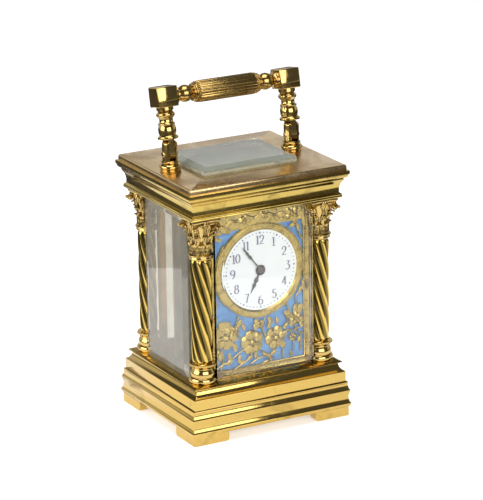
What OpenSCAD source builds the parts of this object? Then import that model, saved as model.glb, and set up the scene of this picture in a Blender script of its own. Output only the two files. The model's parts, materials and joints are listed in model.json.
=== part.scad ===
// Miniature carriage clock: gilt brass case with four turned corner columns, bevelled glasses,
// a hinged back door, a folding handle and a going spring movement with a platform escapement.
// Millimetres, +Z up, front faces -Y, origin on the floor under the middle of the case.

/* [Case] */
// Width across the feet
case_w = 66; // [64:0.5:76]
// Depth across the feet
case_d = 58.4; // [56:0.2:68]
// Height of the bracket feet
foot_h = 3.4; // [2.4:0.1:6]
// Length of a bracket foot along each side
foot_len = 14.6; // [12:0.2:18]
// Height of the base moulding above the feet
base_h = 16.9; // [15:0.1:22]
// Thickness of the slab that the columns stand on
slab_t = 1.2; // [1:0.1:2]
// Clear height between the slab and the cornice
glazed_h = 63.2; // [60:0.2:72]
// Height of the cornice moulding
cornice_h = 10.7; // [9.6:0.1:14]
// Thickness of the top plate
top_plate_t = 2.15; // [1.8:0.05:3]
// Wall of the hollow base moulding at its neck
base_wall = 3.4; // [3:0.1:4]

/* [Columns] */
// Distance from the foot line in to the column centres across the width
column_in_x = 8.4; // [8.2:0.1:9]
// Distance from the foot line in to the column centres across the depth
column_in_y = 8.35; // [8.2:0.05:9]
// Radius of the twisted shaft over its ribs
shaft_r = 4; // [3.6:0.1:4.2]
// Depth of the grooves between the ribs
rib_depth = 0.55; // [0.2:0.05:0.8]
// Number of ribs round the shaft
rib_count = 8; // [6:1:12]
// Twist of the ribs from end to end in degrees
shaft_twist = 180; // [90:1:300]
// Height of the turned column base
column_base_h = 7.8; // [7:0.1:10]
// Height of the capital
capital_h = 15.7; // [14:0.1:18]
// Radius of the widest ring of the column base
column_base_r = 5.4; // [5:0.1:5.5]
// Side of the square block on top of the capital
abacus_w = 11.6; // [10.5:0.1:12]
// Radius of the tie rod inside the column
tie_rod_r = 1; // [0.8:0.05:1.3]

/* [Glasses] */
// Thickness of the upright glasses
glass_t = 2.2; // [1.6:0.1:2.4]
// Width of the bevel on the upright glasses
glass_bevel = 3.2; // [2:0.1:5]
// Distance from the foot line in to the top glass across the width
top_glass_in_x = 13.5; // [12.5:0.5:15]
// Distance from the foot line in to the top glass across the depth
top_glass_in_y = 14.7; // [13.7:0.1:16.2]
// Thickness of the top glass at its middle
top_glass_t = 3.1; // [2.6:0.1:3.6]
// Height of the top glass's upright edge
top_glass_edge = 2; // [1.4:0.1:2.4]
// Width of the bevel on the top glass
top_glass_bevel = 1.9; // [1.2:0.1:3]

/* [Door] */
// Thickness of the door frame
door_t = 2.2; // [1.8:0.1:2.4]
// Width of the door frame's stiles and rails
door_rail = 3.4; // [2.8:0.1:5]
// Radius of the door pivots
door_pin_r = 0.6; // [0.5:0.05:0.8]
// Diameter of the door knob
knob_d = 3.4; // [2.6:0.1:4]

/* [Handle] */
// Distance from the foot line in to each handle post
post_in = 7.5; // [6.5:0.1:8.5]
// Height of the handle pin above the top plate
pin_rise = 5.95; // [5.6:0.05:8]
// Radius of the handle pins
handle_pin_r = 0.8; // [0.6:0.05:1]
// Length of the handle legs from pin to grip centre
leg_len = 21; // [19:0.5:28]
// Rest lean of the handle towards the back in degrees
handle_lean = 11; // [0:1:20]
// Radius of the reeded grip
grip_r = 4.05; // [3.2:0.05:4.2]
// Length of the reeded grip
grip_len = 24; // [18:0.5:26]
// Number of reeds round the grip
reed_count = 20; // [16:1:32]
// Width of the square handle blocks
block_w = 8.3; // [7:0.1:9]
// Height and depth of the square handle blocks
block_h = 7.5; // [6.5:0.1:8]

/* [Dial] */
// Height of the dial centre above the floor
dial_z = 60.4; // [59.6:0.1:61.4]
// Radius of the white enamel
enamel_r = 15.4; // [14.6:0.1:16]
// Outer radius of the gilt ring round the enamel
bezel_r = 17.9; // [17.2:0.1:18.6]
// Length of the minute hand from its centre
minute_hand_len = 12.9; // [11:0.1:13.6]
// Length of the hour hand from its centre
hour_hand_len = 9.4; // [8:0.1:10]
// Minute hand angle clockwise from twelve
minute_hand_angle = 322.2; // [0:0.1:360]
// Hour hand angle clockwise from twelve
hour_hand_angle = 206.85; // [0:0.1:360]
// Thickness of the pierced gilt mask
mask_t = 0.8; // [0.6:0.1:1]
// Thickness of the blue backing plate
backing_t = 0.4; // [0.3:0.05:0.6]

/* [Movement] */
// Width of the movement plates
plate_w = 38; // [36:0.5:40]
// Thickness of the movement plates
plate_t = 1.6; // [1.2:0.1:1.8]
// Room between the winding square and the door
door_room = 4.4; // [3.8:0.1:5]
// Gap between the front plate and the blue backing for the motion work
motion_gap = 1.7; // [1.6:0.05:2]
// Height of the movement plates
plate_h = 56.5; // [56:0.1:57.5]
// Thickness of the platform plate
platform_t = 1.5; // [1.2:0.1:1.8]
// Tooth module of the barrel, intermediate and centre wheels
train_m = 0.25; // [0.24:0.002:0.252]
// Tooth module of the third wheel
third_m = 0.2; // [0.18:0.002:0.202]
// Radius of the balance rim
balance_r = 5.5; // [4.8:0.1:5.8]

/* [Hidden] */
$fn = 48;

brass = "goldenrod";
aged_brass = "darkgoldenrod";
steel = "slategray";

// Clearances
seat_gap = 0.1;       // a fixed piece in its groove or seat
running_gap = 0.05;   // a pivot in its hole
swing_gap = 0.25;     // a moving piece past a fixed one

// Levels, from the floor up
base_top = foot_h + base_h;
slab_top = base_top + slab_t;
cornice_z = slab_top + glazed_h;
plate_z = cornice_z + cornice_h;
top_z = plate_z + top_plate_t;
shaft_z = slab_top + column_base_h;
capital_z = cornice_z - capital_h;
pin_z = top_z + pin_rise;

// Plan
half_w = case_w / 2;
half_d = case_d / 2;
column_x = half_w - column_in_x;
column_y = half_d - column_in_y;
post_x = half_w - post_in;
LEFT = -1;
RIGHT = 1;
FRONT = -1;
REAR = 1;

// The glasses stand between the columns, just clear of the shafts and level with their outer sides
glass_depth = 0.5;                              // how far they enter the slab and the cornice
glass_half_w = column_x - shaft_r - 0.2;
glass_half_d = column_y - shaft_r - 0.2;
glass_out_y = column_y + shaft_r;               // outer face of the front glass
glass_out_x = column_x + shaft_r;               // outer face of the side glasses
glass_in_y = glass_out_y - glass_t;
glass_in_x = glass_out_x - glass_t;
glass_z = slab_top - glass_depth;
glass_h = glazed_h + 2 * glass_depth;
bevel_drop = 0.7;                               // how much the bevel thins the glass

// Door
door_out_y = column_y - 0.25;                   // outer face of the door
door_y = door_out_y - door_t / 2;
door_half_w = glass_half_w - swing_gap;
hinge_x = -(door_half_w - door_t / 2);
door_bottom = slab_top + swing_gap;
door_top = cornice_z - swing_gap;
door_lip = 0.8;
door_glass_t = 1.3;
door_pin_in = 1;

// Dial and motion work, front faces counted from the front glass inwards
hand_t = 0.2;
dial_room = 2.75;                               // from the front glass to the dial, for the hands
dial_y = -glass_in_y + dial_room;               // front face of the mask and of the enamel
backing_y = dial_y + mask_t;
front_plate_y = backing_y + backing_t + motion_gap;
train_y = front_plate_y + plate_t;              // inner face of the front plate
square_len = 3.4;                               // winding and hand-setting squares
ratchet_out = 1;                                // from the back plate to the ratchet's back face
back_face_y = door_y - door_t / 2 - door_room - square_len - ratchet_out;
back_plate_y = back_face_y - plate_t;           // inner face of the back plate
plate_gap = back_plate_y - train_y;
mid_y = (train_y + back_plate_y) / 2;
mask_half_w = glass_half_w;
mask_z = slab_top + 0.3;
mask_h = glazed_h - 0.6;
centre_hole_r = 1.6;
bezel_t = 0.6;

// Going train: tooth counts and arbor places in the plane of the plates
barrel_teeth = 84;
inter_pinion = 12;
inter_teeth = 60;
centre_pinion = 10;
centre_teeth = 56;
third_pinion = 8;
third_teeth = 60;
contrate_pinion = 8;
cannon_teeth = 12;
minute_teeth = 36;
minute_pinion = 10;
hour_teeth = 40;
motion_m = 0.2;
hour_m = motion_m * (cannon_teeth + minute_teeth) / (minute_pinion + hour_teeth);
arbor_r = 0.5;
pivot_r = 0.3;
end_shake = 0.1;
barrel_arbor_r = 1.6;
barrel_drop = 20;                                // barrel centre below the dial centre
contrate_rise = 11;                              // contrate centre above the dial centre

function spread(n1, n2, m) = m * (n1 + n2) / 2;
function cross_at(a, ra, b, rb, side) =
    let (v = b - a, d = norm(v), t = (ra * ra - rb * rb + d * d) / (2 * d), h = sqrt(ra * ra - t * t))
    a + v * t / d + [-v.y, v.x] * side * h / d;
function bearing(a, b) = atan2(b.y - a.y, b.x - a.x);
function meshed(phase, n1, n2, way) = way + 180 + 180 / n2 - (phase - way) * n1 / n2;

centre_at = [0, dial_z];
barrel_at = [0, dial_z - barrel_drop];
contrate_at = [0, dial_z + contrate_rise];
inter_at = cross_at(barrel_at, spread(barrel_teeth, inter_pinion, train_m),
    centre_at, spread(inter_teeth, centre_pinion, train_m), -1);
third_at = cross_at(centre_at, spread(centre_teeth, third_pinion, train_m),
    contrate_at, spread(third_teeth, contrate_pinion, third_m), -1);
minute_way = 215;
minute_at = centre_at + spread(cannon_teeth, minute_teeth, motion_m) * [cos(minute_way), sin(minute_way)];

// Phase of each toothed piece, counted from a tooth lying towards +X
barrel_phase = 0;
inter_pinion_phase = meshed(barrel_phase, barrel_teeth, inter_pinion, bearing(barrel_at, inter_at));
inter_phase = 0;
centre_pinion_phase = meshed(inter_phase, inter_teeth, centre_pinion, bearing(inter_at, centre_at));
centre_phase = 0;
third_pinion_phase = meshed(centre_phase, centre_teeth, third_pinion, bearing(centre_at, third_at));
third_phase = 0;
contrate_pinion_phase = meshed(third_phase, third_teeth, contrate_pinion, bearing(third_at, contrate_at));
cannon_phase = 0;
minute_phase = meshed(cannon_phase, cannon_teeth, minute_teeth, minute_way);
minute_pinion_phase = 0;
hour_phase = meshed(minute_pinion_phase, minute_pinion, hour_teeth, minute_way + 180);

// Places of the wheels along the arbors, as back faces, and their thicknesses
wheel_t = 0.8;
pinion_t = 1.6;
great_in = 2.8;
great_y = train_y + great_in;
great_t = 1.6;
drum_out = 3;
drum_y = back_plate_y - drum_out;
drum_r = 9.2;
drum_wall = 0.7;
cap_t = 0.8;
inter_out = 1;
inter_y = back_plate_y - inter_out;
centre_y = inter_y - wheel_t - 0.6;
third_y = mid_y - 1;
contrate_y = mid_y + 2;
ratchet_y = back_face_y + ratchet_out;
ratchet_r = 4.2;
ratchet_teeth = 24;
click_out = 3.2;
click_up = 5;
click_at = barrel_at + [ratchet_r + click_out, click_up];
click_open = 4;                                  // degrees the click stands off the ratchet

// Platform, in plan
platform_z = slab_top + plate_h;
platform_top = platform_z + platform_t;
escape_r = 3;
escape_teeth = 15;
crown_r = 5.5;
crown_wall = 0.8;
crown_h = 1.4;
crown_y = contrate_y + crown_h;
escape_pinion_r = 1.1;
escape_at = [0, crown_y + escape_pinion_r + 0.1];
lever_at = escape_at - [0, 4.3];
balance_at = lever_at - [0, 4.5];
lever_z = platform_top + 0.8;
lever_t = 0.5;
balance_z = platform_top + 3.1;
balance_t = 0.8;
cock_z = balance_z + balance_t + 0.8;
cock_t = 1;
pillar_r = 1.5;
pillar_in = 2.5;
screw_r = 0.5;
screw_head_r = 1.3;
screw_head_t = 0.8;

// Handle
fork_r = 2.85;
fork_dome = 5.2;
slot_half = 1.35;
tang_half = 1.2;
tang_r = 2.4;
post_stem = 9;
post_stem_r = 1.5;

// ---------------------------------------------------------------- helpers

// Points of a bent line from a to b, pulled towards c; b itself is left for the next stretch
function bend(a, c, b, n = 5) =
    [for (i = [0:n - 1]) let (t = i / n) (1 - t) * (1 - t) * a + 2 * t * (1 - t) * c + t * t * b];

// Both sides of a section given as [distance past the half width, height]
function both_sides(side, half) = concat(
    [for (p = side) [half + p.x, p.y]],
    [for (i = [len(side) - 1:-1:0]) [-half - side[i].x, side[i].y]]);

// A four-sided moulding with mitred corners
module moulding(side, across, along) {
    intersection() {
        rotate([90, 0, 0])
            linear_extrude(3 * (across + along), center = true)
                polygon(both_sides(side, across));
        rotate([90, 0, 90])
            linear_extrude(3 * (across + along), center = true)
                polygon(both_sides(side, along));
    }
}

module block(half_x, half_y, z0, z1) {
    translate([-half_x, -half_y, z0])
        cube([2 * half_x, 2 * half_y, z1 - z0]);
}

// A box between two corners
module span(low, high) {
    translate(low) cube(high - low);
}

module turned(points) {
    rotate_extrude() polygon(points);
}

// Children drawn in the XY plane, extruded up, are turned to an arbor that ends at y_back
module on_arbor(at, y_back) {
    translate([at.x, y_back, at.y]) rotate([90, 0, 0]) children();
}

module rod(r, length) {
    cylinder(r = r, h = length);
}

// Straight-sided teeth with plenty of backlash
function gear_points(n, m) = [
    for (i = [0:n - 1], c = [[-0.25, -1], [-0.11, 0.7], [0.11, 0.7], [0.25, -1]])
        let (r = m * (n / 2 + c.y), a = 360 * (i + c.x) / n) [r * cos(a), r * sin(a)]];

module gear(n, m, t, phase) {
    rotate(phase) linear_extrude(t) polygon(gear_points(n, m));
}

// A wheel with round holes between its spokes
module spoked_gear(n, m, t, phase, holes) {
    difference() {
        gear(n, m, t, phase);
        for (i = [0:holes - 1])
            rotate(360 * i / holes)
                translate([m * n * 0.29, 0, -t])
                    rod(m * n * 0.135, 3 * t);
    }
}

// Saw teeth for the ratchet and the escape wheel
function saw_points(n, r, depth) = [
    for (i = [0:n - 1], c = [[0, 0], [0.12, 0], [0.2, -1]])
        let (a = 360 * (i + c.x) / n, q = r + depth * c.y) [q * cos(a), q * sin(a)]];

// A flat coiled strip from r0 out to r1
function coil(r0, r1, turns, steps, half) = [
    for (i = [0:turns * steps])
        let (a = 360 * i / steps, r = r0 + (r1 - r0) * i / (turns * steps) + half)
        [r * cos(a), r * sin(a)]];
function reversed(list) = [for (i = [len(list) - 1:-1:0]) list[i]];
function strip(r0, r1, turns, steps, t) =
    concat(coil(r0, r1, turns, steps, t / 2), reversed(coil(r0, r1, turns, steps, -t / 2)));

module each_column() {
    for (sx = [LEFT, RIGHT], sy = [FRONT, REAR])
        translate([sx * column_x, sy * column_y, 0]) children();
}

// ---------------------------------------------------------------- case

// Run of the base moulding: lower ridge, hollow, upper ridge, hollow, bead, fascia and cavetto
base_side = concat(
    [[-0.1, 0], [0.4, 0.05]],
    bend([0.5, 0.09], [-0.25, 0.13], [-0.3, 0.25], 5),
    [[-0.3, 0.25]],
    bend([0.3, 0.39], [-0.4, 0.43], [-0.5, 0.54], 5),
    bend([-0.5, 0.54], [-0.2, 0.565], [-0.5, 0.59], 4),
    [[-1.05, 0.595], [-1.05, 0.82]],
    bend([-1.3, 0.83], [-2.9, 0.87], [-3.1, 1], 6),
    [[-3.1, 1]]);
function base_line() = [for (p = base_side) [p.x, foot_h + p.y * base_h]];
base_neck = -3.1;
hollow_half_w = half_w + base_neck - base_wall;
hollow_half_d = half_d + base_neck - base_wall;
lug = 9.5;
lug_t = 4.3;
register_t = 1;
lug_z = base_top - register_t - lug_t;
foot_depth = 4.5;
foot_round = 1;       // upright corners
foot_end_r = 1.2;     // lower inner ends

module base_moulding() {
    color(brass) difference() {
        union() {
            difference() {
                moulding(base_line(), half_w, half_d);
                block(hollow_half_w, hollow_half_d, foot_h - 1, base_top + 1);
            }
            corner_lugs();
            bracket_feet();
        }
        each_column() translate([0, 0, foot_h]) rod(tie_rod_r + seat_gap, base_h);
    }
}

// Pads inside the corners that the tie rods pull against
module corner_lugs() {
    for (sx = [LEFT, RIGHT], sy = [FRONT, REAR])
        translate([sx * (hollow_half_w - lug / 2 + 0.5), sy * (hollow_half_d - lug / 2 + 0.5), 0])
            block(lug / 2, lug / 2, lug_z, lug_z + lug_t);
}

module bracket_feet() {
    intersection() {
        union() {
            block(half_w, half_d - foot_round, 0, foot_h);
            block(half_w - foot_round, half_d, 0, foot_h);
            for (sx = [LEFT, RIGHT], sy = [FRONT, REAR])
                translate([sx * (half_w - foot_round), sy * (half_d - foot_round), 0])
                    rod(foot_round, foot_h);
        }
        for (sx = [LEFT, RIGHT], sy = [FRONT, REAR])
            translate([sx * half_w, sy * half_d, 0]) scale([-sx, -sy, 1]) {
                foot_run();
                mirror([1, -1, 0]) foot_run();
            }
    }
}

// One arm of a foot, from its corner along +X
module foot_run() {
    cube([foot_len - foot_end_r, foot_depth, foot_h]);
    translate([0, 0, foot_end_r]) cube([foot_len, foot_depth, foot_h - foot_end_r]);
    translate([foot_len - foot_end_r, 0, foot_end_r]) rotate([-90, 0, 0]) rod(foot_end_r, foot_depth);
}

module base_plate() {
    edge = base_neck + 1.26;
    color(brass) difference() {
        union() {
            moulding([[base_neck, base_top], [edge, base_top + slab_t / 2], [base_neck + 0.1, slab_top]],
                half_w, half_d);
            block(hollow_half_w - seat_gap, hollow_half_d - seat_gap,
                base_top - register_t, base_top + 0.1);
        }
        each_column() translate([0, 0, base_top - 2]) rod(tie_rod_r + seat_gap, 4);
        glass_grooves(glass_z);
        door_pivot_hole(slab_top - door_pin_in);
        for (x = [-1, 1] * plate_w / 4, y = [front_plate_y, back_plate_y] + [1, 1] * plate_t / 2)
            translate([x, y, base_top - 3]) rod(screw_r, 5);
    }
}

// Channels for the edges of the three fixed glasses
module glass_grooves(z0) {
    g = seat_gap;
    span([-glass_half_w - g, -glass_out_y - g, z0], [glass_half_w + g, -glass_in_y + g, z0 + 1]);
    for (s = [LEFT, RIGHT])
        scale([s, 1, 1])
            span([glass_in_x - g, -glass_half_d - g, z0], [glass_out_x + g, glass_half_d + g, z0 + 1]);
}

module door_pivot_hole(z0) {
    translate([hinge_x, door_y, z0 - 0.2]) rod(door_pin_r + running_gap, door_pin_in + 0.4);
}

// Room cut in the columns for the glass edges and for the door
module column_clearance() {
    g = seat_gap;
    span([-glass_half_w - g, -glass_out_y - g, 0], [glass_half_w + g, -glass_in_y + g, top_z]);
    span([-mask_half_w - g, dial_y - g, 0], [mask_half_w + g, backing_y + backing_t + g, top_z]);
    span([-door_half_w - swing_gap, door_y - door_t / 2 - g, 0], [door_half_w + swing_gap, case_d, top_z]);
    for (s = [LEFT, RIGHT])
        scale([s, 1, 1])
            span([glass_in_x - g, -glass_half_d - g, 0], [glass_out_x + g, glass_half_d + g, top_z]);
}

module column_base(sx, sy) {
    r = column_base_r;
    h = column_base_h;
    color(brass) difference() {
        translate([sx * column_x, sy * column_y, slab_top])
            turned(concat(
                [[tie_rod_r + seat_gap, 0], [r - 0.3, 0]],
                bend([r - 0.3, 0], [r + 0.3, 0.16 * h], [r - 0.3, 0.32 * h], 6),
                [[r - 0.6, 0.34 * h], [r - 0.6, 0.4 * h]],
                bend([r - 0.6, 0.4 * h], [r - 1.6, 0.55 * h], [r - 0.7, 0.74 * h], 6),
                bend([r - 0.7, 0.76 * h], [r + 0.3, 0.86 * h], [r - 0.7, 0.96 * h], 6),
                [[r - 1, h], [tie_rod_r + seat_gap, h]]));
        column_clearance();
    }
}

module column_shaft(sx, sy) {
    points_per_rib = 5;
    n = rib_count * points_per_rib;
    h = capital_z - shaft_z;
    color(brass) translate([sx * column_x, sy * column_y, shaft_z])
        difference() {
            linear_extrude(h, twist = shaft_twist, slices = round(shaft_twist / 8))
                polygon([for (i = [0:n - 1])
                    let (a = 360 * i / n, r = shaft_r - rib_depth * (1 - cos(rib_count * a)) / 2)
                    [r * cos(a), r * sin(a)]]);
            translate([0, 0, -1]) rod(tie_rod_r + seat_gap, h + 2);
        }
}

module capital(sx, sy) {
    h = capital_h;
    r = shaft_r;
    leaf_count = 8;
    half = abacus_w / 2;
    abacus_t = 2.2;
    bell_top = h - abacus_t + 0.1;
    volute_r = 1.4;
    color(brass) difference() {
        translate([sx * column_x, sy * column_y, capital_z]) difference() {
            union() {
                difference() {
                    turned(concat(
                        [[0, 0], [r + 0.4, 0]],
                        bend([r + 0.4, 0], [r + 1.9, 0.04 * h], [r + 0.4, 0.08 * h], 4),
                        bend([r + 0.4, 0.08 * h], [r + 1.7, 0.12 * h], [r, 0.16 * h], 4),
                        [[r - 0.1, 0.18 * h], [r + 0.2, 0.3 * h]],
                        bend([r + 0.2, 0.3 * h], [r + 1.8, 0.42 * h], [r + 0.9, 0.38 * h], 3),
                        [[r + 0.3, 0.42 * h], [r + 0.5, 0.54 * h]],
                        bend([r + 0.5, 0.54 * h], [r + 2.3, 0.66 * h], [r + 1.3, 0.62 * h], 3),
                        [[r + 0.4, 0.68 * h], [r + 1.2, bell_top], [0, bell_top]]));
                    for (i = [0:leaf_count - 1])
                        rotate(360 * (i + 0.5) / leaf_count)
                            translate([r + 0.3, -0.3, 0.2 * h]) cube([4, 0.6, 0.5 * h]);
                }
                translate([0, 0, h - abacus_t]) difference() {
                    block(half, half, 0, abacus_t);
                    for (i = [0:3])
                        rotate(90 * i) translate([half + 9.2, 0, -1]) rod(10, abacus_t + 2);
                }
                for (i = [0:3])
                    rotate(45 + 90 * i)
                        translate([1.18 * half, 0.8, h - abacus_t - volute_r + 0.1])
                            rotate([90, 0, 0]) rod(volute_r, 1.6);
            }
            translate([0, 0, -1]) rod(tie_rod_r + seat_gap, h + 2);
        }
        column_clearance();
    }
}

rod_foot = 4;
nut_t = 1.5;
nut_r = 1.75;
module tie_rods() {
    color(steel) each_column()
        translate([0, 0, lug_z - rod_foot + 1.5]) rod(tie_rod_r, plate_z - 3 - lug_z + rod_foot - 1.5);
}

module tie_nuts() {
    color(steel) each_column()
        translate([0, 0, lug_z - nut_t]) difference() {
            cylinder(r = nut_r, h = nut_t, $fn = 6);
            translate([0, 0, -1]) rod(tie_rod_r + running_gap, nut_t + 2);
        }
}

// Run of the cornice: bead, frieze, hollow, groove, swelling cyma and lip
cornice_side = concat(
    bend([-2.9, 0], [-1.1, 0.03], [-1.85, 0.11], 4),
    bend([-1.85, 0.11], [-1.5, 0.18], [-2.9, 0.2], 3),
    [[-2.6, 0.21]],
    bend([-2.6, 0.32], [-2.5, 0.55], [-1.15, 0.66], 6),
    [[-1.15, 0.69], [-1.5, 0.7], [-1.5, 0.72]],
    bend([-1.15, 0.73], [-0.2, 0.75], [0, 0.83], 5),
    [[0, 0.86], [0.34, 0.88], [0.34, 1]]);
function cornice_line() = [for (p = cornice_side) [p.x, cornice_z + p.y * cornice_h]];
cornice_half_w = column_x - 2.7;
cornice_half_d = column_y - 3.45;

module cornice_frame() {
    color(brass) difference() {
        moulding(cornice_line(), half_w, half_d);
        block(cornice_half_w, cornice_half_d, cornice_z - 1, plate_z + 1);
        each_column() translate([0, 0, cornice_z - 1]) rod(tie_rod_r + seat_gap, cornice_h - 2 + 0.1);
        translate([0, 0, glass_depth - 1]) glass_grooves(cornice_z);
        door_pivot_hole(cornice_z);
        handle_stem_holes();
    }
}

module handle_stem_holes() {
    for (s = [LEFT, RIGHT])
        translate([s * post_x, 0, top_z - post_stem - seat_gap])
            rod(post_stem_r + running_gap, post_stem + 1);
}

top_glass_half_w = half_w - top_glass_in_x;
top_glass_half_d = half_d - top_glass_in_y;
window_half_w = top_glass_half_w - 3;
window_half_d = top_glass_half_d - 3;
top_glass_sink = 0.4;
module top_plate() {
    color(aged_brass) difference() {
        moulding(concat(
            [[-0.53, plate_z], [-0.53, plate_z + 0.28 * top_plate_t]],
            bend([-0.53, plate_z + 0.28 * top_plate_t], [-0.5, top_z - 0.1], [-0.94, top_z], 4),
            [[-0.98, top_z]]), half_w, half_d);
        block(window_half_w, window_half_d, plate_z - 1, top_z + 1);
        block(top_glass_half_w + seat_gap, top_glass_half_d + seat_gap, top_z - top_glass_sink, top_z + 1);
        handle_stem_holes();
    }
}

module top_glass() {
    z0 = top_z - top_glass_sink;
    edge_z = z0 + top_glass_edge;
    color("lightcyan", 0.5)
        moulding([[0, z0], [0, edge_z], [-top_glass_bevel, z0 + top_glass_t]],
            top_glass_half_w, top_glass_half_d);
}

// An upright glass facing -Y with its outer face at y = -t and a bevel all round
module bevelled_glass(half, h, t) {
    translate([0, 0, h / 2]) rotate([90, 0, 0])
        moulding([[0, 0], [0, t - bevel_drop], [-glass_bevel, t]], half, h / 2);
}

module front_glass() {
    color("lightcyan", 0.4) translate([0, -glass_in_y, glass_z])
        bevelled_glass(glass_half_w, glass_h, glass_t);
}

module side_glass(s) {
    color("lightcyan", 0.4) translate([s * glass_in_x, 0, glass_z])
        rotate(s * 90) bevelled_glass(glass_half_d, glass_h, glass_t);
}

// ---------------------------------------------------------------- door

module door_frame() {
    inner = door_half_w - door_rail;
    h = door_top - door_bottom;
    color(brass) difference() {
        union() {
            span([hinge_x, door_y - door_t / 2, door_bottom], [door_half_w, door_y + door_t / 2, door_top]);
            translate([hinge_x, door_y, door_bottom]) rod(door_t / 2, h);
            translate([hinge_x, door_y, slab_top - door_pin_in + seat_gap])
                rod(door_pin_r, glazed_h + 2 * door_pin_in - 2 * seat_gap);
        }
        span([-inner, -0.01, door_bottom + door_rail], [inner, case_d, door_top - door_rail]);
        span([-inner - door_lip, -0.01, door_bottom + door_rail - door_lip],
            [inner + door_lip, door_y - door_t / 2 + door_glass_t, door_top - door_rail + door_lip]);
        door_knob_at() rotate([-90, 0, 0]) rod(knob_d * 0.2 + seat_gap, door_t + 2);
    }
}

module door_glass() {
    g = seat_gap;
    inner = door_half_w - door_rail + door_lip - g;
    z0 = door_bottom + door_rail - door_lip + g;
    z1 = door_top - door_rail + door_lip - g;
    color("lightcyan", 0.4) translate([0, door_y - door_t / 2 + door_glass_t, (z0 + z1) / 2])
        rotate([90, 0, 0])
            moulding([[-door_lip - 1.6, 0], [0, 0.4], [0, door_glass_t]], inner, (z1 - z0) / 2);
}

module door_knob_at() {
    translate([door_half_w - door_rail / 2, door_y - door_t / 2 - 1, dial_z - 4]) children();
}

module door_knob() {
    r = knob_d / 2;
    y0 = door_t + 1;
    color(brass) door_knob_at() rotate([-90, 0, 0])
        turned(concat([[0, 1], [0.4 * r, 1], [0.4 * r, y0], [0.8 * r, y0], [0.5 * r, y0 + 0.6]],
            bend([0.5 * r, y0 + 0.9], [1.3 * r, y0 + 1.2], [r, y0 + 2], 5),
            bend([r, y0 + 2], [0.8 * r, y0 + 2.7], [0, y0 + 2.8], 4), [[0, y0 + 2.8]]));
}

// ---------------------------------------------------------------- handle

module handle_post(s) {
    color(brass) translate([s * post_x, 0, top_z]) difference() {
        union() {
            turned(concat([[0, -post_stem], [post_stem_r, -post_stem], [post_stem_r, 0], [3.9, 0]],
                bend([3.9, 0], [4.3, 0.6], [3.9, 1.1], 4),
                bend([3.3, 1.3], [3, 2.2], [2.7, 2.7], 4),
                bend([3.1, 2.8], [3.9, 3.1], [3.3, 3.7], 4),
                [[fork_r, 3.8], [0, 3.8]]));
            intersection() {
                translate([0, 0, 3]) rod(fork_r, pin_rise + fork_dome);
                translate([-fork_r - 1, 0, pin_rise]) rotate([0, 90, 0]) rod(fork_dome, 2 * fork_r + 2);
            }
        }
        span([-slot_half, -5, pin_rise - tang_r - swing_gap], [slot_half, 5, pin_rise + fork_dome + 1]);
        translate([-5, 0, pin_rise]) rotate([0, 90, 0]) rod(handle_pin_r + 0.03, 10);
    }
}

module handle_pins() {
    color(steel) for (s = [LEFT, RIGHT])
        translate([s * post_x - fork_r - 0.25, 0, pin_z]) rotate([0, 90, 0])
            rod(handle_pin_r, 2 * fork_r + 0.5);
}

// Children drawn upright from the pin line lean with the handle
module leaning() {
    translate([0, 0, pin_z]) rotate([-handle_lean, 0, 0]) children();
}

module handle_leg(s) {
    block_z = leg_len - block_h / 2;
    shank = block_z - 5.4;
    color(brass) leaning() translate([s * post_x, 0, 0]) difference() {
        union() {
            intersection() {
                span([-tang_half, -tang_r, -tang_r], [tang_half, tang_r, 6]);
                union() {
                    span([-tang_half, -tang_r, 0], [tang_half, tang_r, 6]);
                    translate([-5, 0, 0]) rotate([0, 90, 0]) rod(tang_r, 10);
                }
            }
            translate([0, 0, 5.4]) turned(concat(
                [[0, 0], [3.6, 0]],
                bend([3.6, 0], [4.2, 0.045 * shank], [3.6, 0.09 * shank], 4),
                bend([2.7, 0.1 * shank], [3.9, 0.22 * shank], [3.2, 0.33 * shank], 5),
                bend([3.2, 0.33 * shank], [2.2, 0.42 * shank], [2.3, 0.62 * shank], 5),
                bend([2.6, 0.7 * shank], [4.2, 0.76 * shank], [2.9, 0.84 * shank], 5),
                [[3.3, 0.88 * shank], [3.3, shank + 0.1], [0, shank + 0.1]]));
            block(block_w / 2, block_h / 2, block_z, block_z + block_h);
        }
        translate([-5, 0, 0]) rotate([0, 90, 0]) rod(handle_pin_r + 0.06, 10);
        translate([-s * block_w / 2, 0, leg_len]) rotate([0, -s * 90, 0])
            translate([0, 0, -4]) rod(tenon_r + 0.03, 5);
    }
}

tenon_r = 1.2;
tenon_len = 3.8;
module handle_grip() {
    inner = post_x - block_w / 2;
    half = grip_len / 2;
    reach = inner - half;
    color(aged_brass) leaning() translate([0, 0, leg_len]) {
        rotate([0, 90, 0]) linear_extrude(grip_len, center = true)
            polygon([for (i = [0:2 * reed_count - 1])
                let (a = 180 * i / reed_count, r = grip_r - 0.3 * (i % 2)) [r * cos(a), r * sin(a)]]);
        for (s = [LEFT, RIGHT])
            rotate([0, s * 90, 0]) translate([0, 0, half]) turned(concat(
                [[0, -0.1], [grip_r - 0.3, -0.1], [grip_r - 0.5, 0.1 * reach]],
                bend([3, 0.14 * reach], [4.4, 0.2 * reach], [3, 0.27 * reach], 4),
                bend([1.9, 0.3 * reach], [4.4, 0.56 * reach], [1.9, 0.83 * reach], 8),
                bend([3, 0.85 * reach], [3.9, 0.92 * reach], [3.2, reach], 4),
                [[3.1, reach], [tenon_r, reach], [tenon_r, reach + tenon_len], [0, reach + tenon_len]]));
    }
}

// ---------------------------------------------------------------- dial and mask

mask_border = 2.2;
mask_foot_r = 1;
mask_foot_x = plate_w / 2 - 5.5;

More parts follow.
